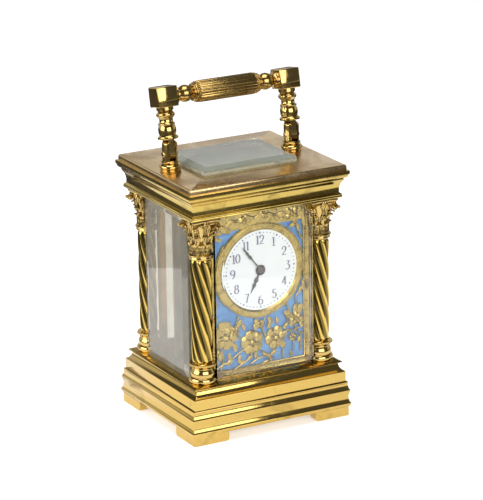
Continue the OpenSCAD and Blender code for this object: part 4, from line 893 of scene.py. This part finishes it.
def reededGrip(values, reach):
    bm = bmesh.new()
    bmesh.ops.create_circle(bm, segments=values["reeds"] * values["pointsPerReed"], radius=values["radius"])
    edges = list(bm.edges)
    bmesh.ops.edgeloop_fill(bm, edges=edges)

    def shape(verts, z, close):
        for v in verts:
            angle = math.atan2(v.co.y, v.co.x)
            deep = values["reedDepth"] * (1 - abs(math.cos(values["reeds"] * angle / 2)))
            r = values["radius"] - deep - values["endDrop"] * close
            v.co = (r * math.cos(angle), r * math.sin(angle), z)

    length = 2 * values["half"]
    roundedEnd = [(0.12, 0.6), (0.35, 0.25), (0.8, 0)]
    farEnd = [(length - z, close) for z, close in roundedEnd[::-1]]
    shape(bm.verts, 0, 1)
    for z, close in roundedEnd + [(length / 2, 0)] + farEnd + [(length, 1)]:
        edges = pulledEdges(bm, edges)
        shape({v for e in edges for v in e.verts}, z, close)
    bmesh.ops.edgeloop_fill(bm, edges=edges)
    bmesh.ops.recalc_face_normals(bm, faces=bm.faces)
    parts = [(bm, Matrix.Translation((0, 0, -values["half"])))]
    neck = [(0, -0.1), (3.5, -0.1), (3.6, 0.1)] + bow((3.35, 0.5), (3.35, 1.25), 0.35, 6)
    neck += bow((3.0, 1.3), (3.0, 1.95), 0.4, 6) + [(2.1, 2.0), (2.0, 2.15)]
    neck += bow((2.0, 2.15), (1.95, 0.8 * reach), 1.2, 14) + [(1.9, 0.82 * reach), (2.5, 0.84 * reach)]
    neck += bow((2.6, 0.85 * reach), (2.9, 0.95 * reach), 0.5, 6)
    neck += [(2.9, 0.96 * reach), (3.0, reach), (0, reach)]
    for side in (-1, 1):
        facingOut = Matrix.Rotation(0 if side > 0 else fullTurn / 2, 4, "X")
        atEnd = Matrix.Translation((0, 0, side * values["half"])) @ facingOut
        parts.append((turned(neck, 48), atEnd))
        for i in range(values["beads"]):
            angle = fullTurn * i / values["beads"]
            bead = (values["beadRing"] * math.cos(angle), values["beadRing"] * math.sin(angle), 0.3)
            parts.append((ball(values["bead"], bead), atEnd))
    return placed(gather(parts), Matrix.Rotation(fullTurn / 4, 4, "Y"))


for side in ("left", "right"):
    x = middleOf("handle_post_" + side).x
    makePiece("handlePost_" + side, placed(handlePost(post), Matrix.Translation((x, 0, topHigh.z))), "case",
              turnedBrass, ["handle_post_" + side], smooth=45, bevel=post["edge"])
    turnedLeg = placed(handleLeg(leg, legReach), lean @ Matrix.Translation((x, 0, 0)))
    makePiece("handleLeg_" + side, turnedLeg, "handle", turnedBrass, ["handle_leg_" + side],
              smooth=45)
inner = abs(x) - leg["block"] / 2
gripShape = reededGrip(grip, inner - grip["half"])
makePiece("handleGrip", placed(gripShape, lean @ Matrix.Translation((0, 0, legReach))), "handle", gripBrass,
          ["handle_grip"], smooth=45)
print("handle done")


dial = {"numeralRing": 11.6, "numeralTall": 3.35, "thin": 0.27, "heavy": 0.62, "dotRing": 14.25, "dot": 0.23,
        "hourDot": 0.38, "ink": 0.02, "ringR": 17.95}
# dial pieces are drawn flat with z towards the viewer, then stood up on the dial's face
facing = swapYZ @ Matrix.Diagonal((1, 1, -1, 1))
onDial = Matrix.Translation((0, dialFace, dialZ)) @ facing


def arc(cx, cy, rx, ry, start, end, steps=18):
    return [(cx + rx * math.cos(math.radians(start + (end - start) * i / steps)),
             cy + ry * math.sin(math.radians(start + (end - start) * i / steps))) for i in range(steps + 1)]


# the pen strokes of each digit, in shares of its height
strokes = {
    "0": [arc(0.3, 0.5, 0.25, 0.49, 90, 450, 28)],
    "1": [[(0.3, 0.0), (0.3, 0.98)], [(0.12, 0.9), (0.3, 0.98)], [(0.12, 0.02), (0.48, 0.02)]],
    "2": [arc(0.3, 0.72, 0.22, 0.27, 190, -30) + [(0.42, 0.42), (0.2, 0.2), (0.06, 0.03)],
          [(0.06, 0.03), (0.56, 0.03)]],
    "3": [[(0.1, 0.97), (0.5, 0.97)], [(0.5, 0.97), (0.27, 0.6)], arc(0.26, 0.3, 0.24, 0.3, 88, -150)],
    "4": [[(0.4, 0.0), (0.4, 0.98)], [(0.4, 0.98), (0.03, 0.28), (0.56, 0.28)]],
    "5": [[(0.14, 0.97), (0.5, 0.97)], [(0.14, 0.97), (0.12, 0.55)], arc(0.26, 0.3, 0.24, 0.3, 120, -150)],
    "6": [arc(0.3, 0.28, 0.24, 0.28, 0, 360, 26), arc(0.42, 0.42, 0.36, 0.56, 95, 190)],
    "7": [[(0.06, 0.97), (0.54, 0.97)], [(0.54, 0.97), (0.36, 0.5), (0.26, 0.0)]],
    "8": [arc(0.3, 0.26, 0.24, 0.26, 90, 450, 26), arc(0.3, 0.75, 0.19, 0.23, -90, 270, 24)],
    "9": [arc(0.3, 0.72, 0.24, 0.28, 0, 360, 26), arc(0.18, 0.58, 0.36, 0.56, -85, 10)],
}


def penLine(points, values, scale):  # a flat stroke, heavier where it runs upright
    bm = bmesh.new()
    runs = [Vector((x, y, 0)) * scale for x, y in points]
    left, right = None, None
    for i, p in enumerate(runs):
        way = (runs[min(i + 1, len(runs) - 1)] - runs[max(i - 1, 0)]).normalized()
        half = (values["thin"] + (values["heavy"] - values["thin"]) * abs(way.y) ** 3) / 2
        side = Vector((-way.y, way.x, 0)) * half
        if left is None:
            left, right = bm.verts.new(p + side), bm.verts.new(p - side)
            edge = bm.edges.new((left, right))
            continue
        edge = pulledEdges(bm, [edge])[0]
        nextLeft, nextRight = sorted(edge.verts, key=lambda v: (v.co - left.co).length)
        nextLeft.co, nextRight.co = p + side, p - side
        left, right = nextLeft, nextRight
    return bm


parts = []
tall = dial["numeralTall"]
for hour in range(1, 13):
    word = str(hour)
    wide = 0.56 * tall * (len(word) - 0.25 * word.count("1"))
    angle = math.radians(90 - 30 * hour)
    left = dial["numeralRing"] * math.cos(angle) - wide / 2
    low = dial["numeralRing"] * math.sin(angle) - tall / 2
    for digit in word:
        step = (0.42 if digit == "1" else 0.58) * tall
        shift = -0.09 * tall if digit == "1" else 0
        for k, stroke in enumerate(strokes[digit]):  # each stroke lies a little above the one before
            spot = Matrix.Translation((left + shift, low, dial["ink"] * (1 + 0.1 * k)))
            parts.append((penLine(stroke, dial, tall), spot))
        left += step
for minute in range(60):
    angle = fullTurn * minute / 60
    dot = bmesh.new()
    radius = dial["dot"] if minute % 5 else dial["hourDot"]
    bmesh.ops.create_circle(dot, cap_ends=True, segments=10, radius=radius)
    spot = (dial["dotRing"] * math.cos(angle), dial["dotRing"] * math.sin(angle), dial["ink"])
    parts.append((dot, Matrix.Translation(spot)))
ink = gather(parts)
for face in ink.faces:
    if face.normal.z < 0:
        face.normal_flip()
makePiece("dialNumerals", placed(ink, onDial), "case", numeralPaint)

ringR = dial["ringR"]
outline = bow((enamelR - 0.1, 0), (enamelR + 0.65, 0.42), 0.0, 3)
outline += bow((enamelR + 0.65, 0.42), (ringR - 0.35, 0.32), 0.0, 6)
outline += bow((ringR - 0.3, 0.38), (ringR, 0.1), 0.12, 5)
outline += [(ringR, -0.1), (enamelR - 0.1, -0.1), (enamelR - 0.1, 0)]
makePiece("dialRing", placed(turned(outline, 128), onDial), "case", giltFret, ["dial_bezel"],
          smooth=35)

# line: distance from the centre and half width; angle: clockwise from twelve
hourHand = {"eye": 2.0, "angle": 206.85, "edge": 0.04, "line": [
    (0, .3), (2.4, .3), (3, .45), (4.3, .85), (5.2, .35), (5.9, .75), (7.2, .35), (9.4, .03)]}
minuteHand = {"eye": 1.5, "angle": 322.2, "edge": 0.04, "line": [
    (0, .28), (5, .22), (6.2, .3), (7.4, .62), (8.4, .25), (9, .5), (10.2, .25), (12.9, .03)]}


def handShape(values, thickness, boss):
    bm = bmesh.new()
    edge = None
    for x, y in smoothRun(values["line"], 5):
        if edge is None:
            edge = bm.edges.new((bm.verts.new((x, y, 0)), bm.verts.new((x, -y, 0))))
            continue
        edge = pulledEdges(bm, [edge])[0]
        up, down = sorted(edge.verts, key=lambda v: -v.co.y)
        up.co, down.co = (x, y, 0), (x, -y, 0)
    bmesh.ops.solidify(bm, geom=list(bm.faces), thickness=thickness)
    bmesh.ops.recalc_face_normals(bm, faces=bm.faces)
    low = min(v.co.z for v in bm.verts)
    bmesh.ops.translate(bm, vec=(0, 0, -low), verts=bm.verts)
    return placed(gather([bm, turned(boss, 32)]), Matrix.Rotation(math.radians(90 - values["angle"]), 4, "Z"))


def plainBoss(eye, thick):
    return [(0, 0), (eye, 0), (eye, thick * 0.7), (eye - 0.15, thick), (0, thick)]


def domedBoss(eye, thick):  # with the end of the arbor in its middle
    outline = [(0, 0), (eye + 0.2, 0), (eye + 0.2, thick * 0.8)]
    outline += bendLine((eye + 0.2, thick * 0.8), (eye - 0.1, thick + 0.12), (0.95, thick + 0.1), 5)
    return outline + [(0.95, thick + 0.02), (0.8, thick + 0.02), (0.7, thick + 0.16), (0, thick + 0.2)]


for name, values, boss, body, node in (("hourHand", hourHand, plainBoss, "hour_pipe", "hour_hand"),
                                       ("minuteHand", minuteHand, domedBoss, "minute_arbor", "minute_hand")):
    low, high = boxOf(node)
    thick = high.y - low.y
    stand = Matrix.Translation((0, high.y, dialZ)) @ facing
    makePiece(name, placed(handShape(values, thick, boss(values["eye"], thick)), stand), body, bluedSteel,
              [node], smooth=35, bevel=values["edge"])
print("dial done")


# heights in the ornament are from the floor
mask = {
    "border": 2.2, "ring": 18.35, "topBand": 7.2, "stemThick": 0.36, "stemEnd": 0.2,
    "flowers": [  # x, height, radius, petals, turn
        (-3.7, 33, 4.75, 5, 0.5), (6.3, 33.1, 4.5, 6, 0.2), (-14.4, 36.4, 4.3, 6, 0.1),
        (-10.9, 38.5, 1.9, 5, 0.8), (14.7, 39.2, 2.7, 6, 0.4), (13.6, 32, 1.7, 5, 0.3),
        (-18.2, 31, 2.1, 5, 0.2), (0, 39.4, 1.7, 5, 0), (-17.2, 78.4, 3, 6, 0.2),
        (13.6, 79.8, 2.9, 6, 0.5), (2, 81.4, 1.9, 5, 0.4), (-6.8, 81, 2.2, 5, 0.1)],
    "stems": [  # knots as (x, height)
        [(-18, 25), (-13.6, 27.2), (-9.3, 29.8), (-6.2, 31.4)],
        [(-11.1, 23.8), (-8.1, 25.4), (-4.8, 27.2), (-3.8, 30.3)],
        [(-16.4, 24.2), (-15.2, 28.3), (-15.9, 32.8), (-14.4, 35.8)],
        [(9.8, 23.2), (9.1, 26.4), (9.3, 29), (7.6, 31.8)],
        [(9, 34.4), (11.6, 35.2), (14, 35), (18.2, 35.8)],
        [(11.4, 35.1), (13, 33.8), (13.8, 30), (13.6, 26.2)],
        [(14, 35), (16.4, 33.2), (16.8, 29.4), (16.6, 26.4)],
        [(2.2, 33.8), (1, 36.4), (0.6, 38.8), (1.6, 41.8)],
        [(-8.4, 35.2), (-10, 37.6), (-10.5, 40.8), (-9, 44.2)], [(14.4, 37.2), (15.2, 34.4), (18.2, 32.6)],
        [(15, 41.6), (15.4, 44.4), (14.8, 47.6), (18, 50.8)],
        [(-18, 41), (-18.8, 44.3), (-17.8, 47.3), (-19.8, 51.3)],
        [(-4.6, 24.8), (-0.8, 26.4), (2.8, 26.6), (5.8, 25)],
        [(-0.1, 29), (1.6, 28), (3.8, 25.4), (5, 23.4)], [(-19.8, 34.3), (-19.2, 33.2), (-17.2, 34.4)],
        [(10.8, 45.8), (11.8, 42.6), (11, 39.4), (12.6, 37.4)],
        [(-19.8, 70.3), (-19.2, 72.3), (-18.5, 75.4), (-17.4, 77.8)],
        [(18.2, 69.3), (16.2, 72.3), (15.6, 75.8), (14, 79)],
        [(-14.4, 79.4), (-11.8, 80.6), (-9.6, 80), (-7, 80.8)], [(-5, 81.4), (-2.4, 80.4), (0, 81)],
        [(3.8, 81.2), (6.8, 80), (9.4, 80.6), (11.6, 80)], [(-19.8, 82), (-19, 81.4)],
        [(16, 81.7), (18.2, 82.2)], [(-12, 83.2), (-11.4, 81.2), (-12.4, 78.4)],
        [(8.2, 83.2), (7.6, 81.2), (8.8, 78.2)]],
    "leaves": [  # x, height, length, half width, angle, lobes
        (-9, 29, 2.6, 0.7, -100, 3), (-5.8, 26.4, 2.8, 0.75, 40, 3), (-2.4, 29, 3, 0.8, -85, 3),
        (0.7, 28.1, 4.6, 0.8, -32, 3), (0.8, 24.2, 3.8, 0.6, 8, 2), (8.8, 30.6, 2.4, 1.3, -60, 2),
        (10.6, 34.6, 2.4, 0.8, -120, 2), (16.6, 31.6, 2.4, 0.9, -110, 2), (-15.4, 37.4, 4.2, 1.3, 165, 3),
        (-14.8, 38.6, 4, 1.2, 115, 3), (-13.6, 35.2, 3.6, 1.2, -105, 3), (-16, 35.6, 3.6, 1.1, -150, 3),
        (-12.2, 36.4, 3, 0.9, -30, 3), (12.6, 26.6, 2.4, 0.55, -80, 0), (-13.2, 27.4, 3.2, 0.8, 95, 3),
        (-18.4, 26.8, 3.4, 0.9, 100, 3), (3, 37.2, 3.2, 0.9, 65, 3), (9.6, 36, 3.2, 0.9, 50, 3),
        (15.8, 41.4, 3.4, 1, 70, 3), (13, 40.4, 3.6, 1, 140, 3), (16.4, 37.2, 2.6, 0.9, -40, 2),
        (-18.6, 42.2, 3.6, 1, 80, 3), (-7, 38.2, 2.8, 0.8, 100, 2), (-19.8, 38.4, 2.4, 0.9, 60, 2),
        (-19.4, 49.2, 2.8, 0.8, 115, 2), (16.3, 49, 2.8, 0.8, 62, 2), (-2, 37.6, 2.4, 0.8, 110, 2),
        (7, 38.4, 2.6, 0.8, 95, 2), (-19.8, 73.4, 3, 0.9, 75, 3), (-17.8, 75, 3, 0.9, -20, 3),
        (16.6, 73, 3, 0.9, 105, 3), (15.2, 76, 3, 0.9, 200, 3), (-14.2, 78.2, 2.8, 0.9, -25, 3),
        (-14, 80.4, 2.8, 0.8, 45, 3), (10.4, 79, 2.8, 0.9, 205, 3), (10.6, 81.4, 2.8, 0.8, 140, 3),
        (-10.2, 81.4, 2.4, 0.8, 70, 2), (6.6, 81.4, 2.4, 0.8, 110, 2), (-2.6, 81.6, 2.4, 0.8, 85, 2),
        (-19.6, 80, 2.4, 0.8, 160, 2), (16.4, 80.4, 2.4, 0.8, 20, 2), (-18.6, 33.6, 4.2, 1.3, 20, 3),
        (-18.4, 40.4, 3.8, 1.2, -35, 3), (-16.8, 42, 4.2, 1.2, -8, 3), (-13.6, 41.6, 3.8, 1.2, -70, 3),
        (-11.4, 33.8, 3.6, 1.1, -75, 3), (-16.6, 31.6, 4, 1.2, -85, 3), (-19.4, 29.4, 3.8, 1.1, -60, 3),
        (-12.4, 28.6, 3.4, 1, -120, 3), (-8.2, 42.6, 3.6, 1, -120, 3), (-2.2, 42, 3.4, 0.9, -80, 2),
        (3.2, 41.6, 3.4, 1, -60, 3), (10.2, 42.8, 4, 1.1, -60, 3), (14.8, 44.6, 3.6, 1.2, -95, 3),
        (17.6, 44.2, 3.6, 1.1, -110, 3), (18.6, 38.2, 3.4, 1.1, 170, 3), (12.2, 36.8, 3.2, 1, 30, 3),
        (-19, 47, 4.6, 1.2, 75, 3), (18.8, 49.4, 4.6, 1.2, 100, 3), (-18.8, 78.6, 4.6, 1.5, -100, 3),
        (18.6, 78.4, 4.6, 1.5, -80, 3), (-16.4, 79.4, 5.2, 1.5, -35, 3), (12.8, 79.8, 4.6, 1.4, -50, 3),
        (-6.8, 25.4, 3.6, 0.9, 155, 3), (6.4, 28.4, 3, 0.9, 215, 2)]}
maskThick = maskHigh.y - maskLow.y
maskMid = (maskLow.z + maskHigh.z) / 2 - dialZ
maskHalf = (maskHigh.x, (maskHigh.z - maskLow.z) / 2)


def maskBorder(values):
    b = values["border"]
    bottom, top = maskMid - maskHalf[1], maskMid + maskHalf[1]

    def level(inset, up):
        return (-maskHalf[0] + inset, maskHalf[0] - inset, bottom + inset, top - inset, up)

    edge = rectLoops([level(0, -maskThick), level(0, 0), level(0.35, 0.12), level(0.6, 0.02),
                      level(b - 0.55, 0.02), level(b - 0.3, 0.14), level(b, 0.0), level(b, -maskThick)])
    inside, outside = enamelR + 0.1, values["ring"]
    ring = turned([(inside, -maskThick), (inside, 0), (outside - 0.1, 0), (outside, -0.1),
                   (outside, -maskThick), (inside, -maskThick)], 112)
    band = bar((1 - maskHalf[0], top - values["topBand"], -maskThick), (maskHalf[0] - 1, top - 1, -0.03))
    return [edge, ring, band]


def stem(knots, thick, end):
    run = smoothRun([(x, z - dialZ, 0.0) for x, z in knots], 6)
    return strand(run, [thick + (end - thick) * i / len(run) for i in range(len(run))])


def maskBranches(values):
    parts = []
    for x, z, r, petals, turn in values["flowers"]:
        parts.append((blossom(r, petals, 0.85, turn, 0.12), Matrix.Translation((x, z - dialZ, -0.12))))
    for knots in values["stems"]:
        parts.append(stem(knots, values["stemThick"], values["stemEnd"]))
    for x, z, length, width, angle, lobes in values["leaves"]:
        blade = frond(length, width, lobes, lift=0.42, hollow=0.1, thick=0.2, rows=8)
        way = Matrix.Rotation(math.radians(angle), 4, "Z")
        parts.append((blade, Matrix.Translation((x, z - dialZ, -0.1)) @ way))
    return parts


relief = gather(maskBorder(mask) + maskBranches(mask))
makePiece("piercedMask", placed(relief, onDial), "case", giltFret, ["dial_mask"], smooth=42)
print("mask done")


# the door is hinged on a rod at its left edge, seen from the front
door = {"rail": 3.4, "rod": 1.1, "pivot": 0.6, "pivotTall": 0.9, "edge": 0.1, "gapBelow": 1.45,
        "gapAbove": 0.25}
doorMid = (doorLow.y + doorHigh.y) / 2
doorBottom, doorTop = baseHigh.z + door["gapBelow"], corniceLow.z - door["gapAbove"]
doorSide = -doorLow.x
hingeX = doorLow.x + door["rod"]


def doorFrame(values):
    rail, rod, pivot = values["rail"], values["rod"], values["pivot"]
    face = rod  # half the door's thickness

    def level(inset, up):
        left = hingeX if inset < 0.3 else doorLow.x + inset
        return (left, doorSide - inset, doorBottom + inset, doorTop - inset, up)

    ring = rectLoops([
        level(0, -face), level(0, face - 0.15), level(0.15, face), level(rail - 1.3, face),
        level(rail - 1.1, face - 0.25), level(rail - 0.7, face - 0.2), level(rail - 0.35, face - 0.55),
        level(rail, face - 0.85), level(rail, 0.2), level(rail - 0.8, 0.2), level(rail - 0.8, -face)])
    placed(ring, Matrix.Translation((0, doorMid, 0)) @ swapYZ)
    bmesh.ops.recalc_face_normals(ring, faces=ring.faces)
    tall = doorTop - doorBottom
    line = [(0, -values["pivotTall"]), (pivot, -values["pivotTall"]), (pivot, 0), (rod - 0.1, 0), (rod, 0.15)]
    for share in (0.12, 0.16, 0.84, 0.88):  # rings turned into the rod
        z = share * tall
        line += [(rod, z - 0.2), (rod - 0.2, z - 0.08), (rod - 0.2, z + 0.08), (rod, z + 0.2)]
    line += [(rod, tall - 0.15), (rod - 0.1, tall), (pivot, tall), (pivot, tall + values["pivotTall"]),
             (0, tall + values["pivotTall"])]
    return gather([ring, (turned(line, 28), Matrix.Translation((hingeX, doorMid, doorBottom)))])


makePiece("doorFrame", doorFrame(door), "door", turnedBrass, ["door_frame"], smooth=40,
          bevel=door["edge"])
knobLow, knobHigh = boxOf("door_knob")
knobR = (knobHigh.x - knobLow.x) / 2
knobMid = middleOf("door_knob")
knobOut = knobHigh.y - doorHigh.y
outline = [(0, -1.2), (0.4 * knobR, -1.2), (0.4 * knobR, 0), (0.85 * knobR, 0), (0.85 * knobR, 0.2)]
outline += bow((0.55 * knobR, 0.35), (0.5 * knobR, 0.3 * knobOut), -0.05, 4)
outline += bow((0.7 * knobR, 0.36 * knobOut), (0.9 * knobR, 0.78 * knobOut), 0.35 * knobR, 8)
outline += bendLine((0.88 * knobR, 0.8 * knobOut), (0.6 * knobR, knobOut), (0, knobOut), 6) + [(0, knobOut)]
backwards = Matrix.Rotation(-fullTurn / 4, 4, "X")
knob = placed(turned(outline, 36), Matrix.Translation((knobMid.x, doorHigh.y, knobMid.z)) @ backwards)
makePiece("doorKnob", knob, "door", turnedBrass, ["door_knob"], smooth=45)
print("door done")


# every node of the frame gets the finish of its slot; three glasses have one of their own
slotLooks = {
    "cast_brass": castBrass, "turned_brass": turnedBrass, "aged_top_brass": agedTopBrass,
    "grip_brass": gripBrass, "gilt_fret": giltFret, "blue_lacquer": blueLacquer, "white_enamel": whiteEnamel,
    "blued_steel": bluedSteel, "bright_steel": brightSteel, "movement_brass": movementBrass,
    "bevelled_glass": clearGlass}
ownLooks = {"top_glass": topGlassLook, "left_glass": sideGlassLook, "right_glass": sideGlassLook}
for part in frame["record"]["subparts"]:
    node = frame["nodes"][part["node"]]
    look = ownLooks.get(part["node"], slotLooks[part["material_slot"]])
    if not node.material_slots:
        node.data.materials.append(look)
    for holder in node.material_slots:
        holder.material = look
print("nodes finished")


studio = {"floorHalf": 8.0, "floorGlow": 0.5, "glowNear": 2.5, "glowFar": 5.0, "paper": 0.2, "darkRingFar": 4,
          "boxFar": 1.7, "boxHigh": 0.66, "boxAim": 0.06,
          "left": {"glow": 3.6, "way": 176, "size": (1.7, 1.2)},
          "front": {"glow": 3.4, "way": 268, "size": (1.6, 1.1)},
          "above": {"glow": 3.4, "high": 1.05, "size": (0.75, 0.65), "shift": (-0.03, 0.02)},
          "room": 0.1, "backdrop": 0.62, "backWay": (0.476, 0.879)}
floorMesh = bmesh.new()
bmesh.ops.create_grid(floorMesh, x_segments=8, y_segments=8, size=studio["floorHalf"])
floor = meshObject("floor", floorMesh)
ground = Finish("paleGround")
mottle = ground.ramp(ground.cloud(3, 3), (0.3, 0), (0.7, 1)) * 0.5
floor.data.materials.append(
    ground.wear(ground.blend(mottle, tint(0.9, 0.9, 0.9), tint(0.88, 0.88, 0.89)), 0.75, Metallic=0.0))
distance = ground.node("ShaderNodeVectorMath", {"operation": "LENGTH"}, {0: ground.place()}, out="Value")
glow = ground.ramp(distance * 0.1, (studio["glowNear"] / 10, 1), (studio["glowFar"] / 10, 0.6))
join(ground.tree, glow, ground.shader.inputs["Emission Color"])
ground.shader.inputs["Emission Strength"].default_value = studio["floorGlow"]

darkRingMesh = bmesh.new()  # a dark ring beyond the white paper that only reflections show: painted dark reflections on the brass
for radius in (studio["paper"], studio["darkRingFar"]):
    bmesh.ops.create_circle(darkRingMesh, segments=64, radius=radius)
bmesh.ops.bridge_loops(darkRingMesh, edges=list(darkRingMesh.edges))
bmesh.ops.translate(darkRingMesh, vec=(0, 0, mm), verts=darkRingMesh.verts)
darkReflectionRing = meshObject("darkReflectionRing", darkRingMesh)
darkRingFinish = Finish("darkReflectionLook")
darkRingTone = darkRingFinish.blend(darkRingFinish.cloud(6, 4, (1, 0.2, 1)), tint(0.05, 0.045, 0.04), tint(0.09, 0.08, 0.07))
darkReflectionRing.data.materials.append(darkRingFinish.wear(darkRingTone, 0.8, Metallic=0.0))
for kind in ("camera", "diffuse", "transmission", "shadow", "volume_scatter"):
    setattr(darkReflectionRing, "visible_" + kind, False)


def softBox(name, spot, values):
    lamp = bpy.data.lights.new(name, "AREA")
    lamp.shape = "RECTANGLE"
    lamp.size, lamp.size_y = values["size"]
    lamp.energy = values["glow"] * math.pi * lamp.size * lamp.size_y
    holder = bpy.data.objects.new(name, lamp)
    scene.collection.objects.link(holder)
    holder.location = spot
    aim = Vector((0, 0, studio["boxAim"])) - holder.location
    holder.rotation_euler = aim.to_track_quat("-Z", "Y").to_euler()
    holder.visible_camera = False


for name in ("left", "front"):
    way = math.radians(studio[name]["way"])
    spot = (studio["boxFar"] * math.cos(way), studio["boxFar"] * math.sin(way), studio["boxHigh"])
    softBox(name + "Box", spot, studio[name])
softBox("overheadBox", (*studio["above"]["shift"], studio["above"]["high"]), studio["above"])

world = bpy.data.worlds.new("studio")  # a bright backdrop behind the clock, a dark room elsewhere
world.use_nodes = True
scene.world = world
tree = world.node_tree
tree.nodes.clear()
skyEnd = tree.nodes.new("ShaderNodeOutputWorld")
skyLight = tree.nodes.new("ShaderNodeBackground")
skyPlace = tree.nodes.new("ShaderNodeTexCoord")
skySplit = tree.nodes.new("ShaderNodeSeparateXYZ")
tree.links.new(skyPlace.outputs["Generated"], skySplit.inputs[0])
skyX, skyY, skyZ = (Wire(tree, socket) for socket in skySplit.outputs)


def rise(value, low, high):  # from 0 at low to 1 at high
    step = tree.nodes.new("ShaderNodeMapRange")
    step.interpolation_type = "SMOOTHSTEP"
    step.inputs["From Min"].default_value, step.inputs["From Max"].default_value = low, high
    join(tree, value, step.inputs["Value"])
    return Wire(tree, step.outputs["Result"])


behind = rise(skyX * studio["backWay"][0] + skyY * studio["backWay"][1], -0.15, 0.35)
sky = studio["room"] + behind * (1 - rise(skyZ, 0.36, 0.52)) * studio["backdrop"]
tree.links.new(sky.socket, skyLight.inputs["Strength"])
tree.links.new(skyLight.outputs[0], skyEnd.inputs[0])
skyLight.inputs["Color"].default_value = tint(0.97, 0.98, 1)

scene.view_settings.view_transform = "Standard"
shot = {"lens": 218.4, "sensor": 36, "place": (-0.51327, -0.94776, 0.40081), "aim": (0, 0, 0.062),
        "roll": -0.91, "shift": (0.0172, 0.0024)}
camera = bpy.data.objects.new("camera", bpy.data.cameras.new("camera"))
scene.collection.objects.link(camera)
camera.data.lens = shot["lens"]
camera.data.sensor_width = shot["sensor"]
camera.data.shift_x, camera.data.shift_y = shot["shift"]
camera.location = shot["place"]
gaze = (Vector(shot["aim"]) - camera.location).to_track_quat("-Z", "Y").to_matrix()
camera.rotation_euler = (gaze @ Matrix.Rotation(math.radians(shot["roll"]), 3, "Z")).to_euler()
scene.camera = camera
print("studio ready")
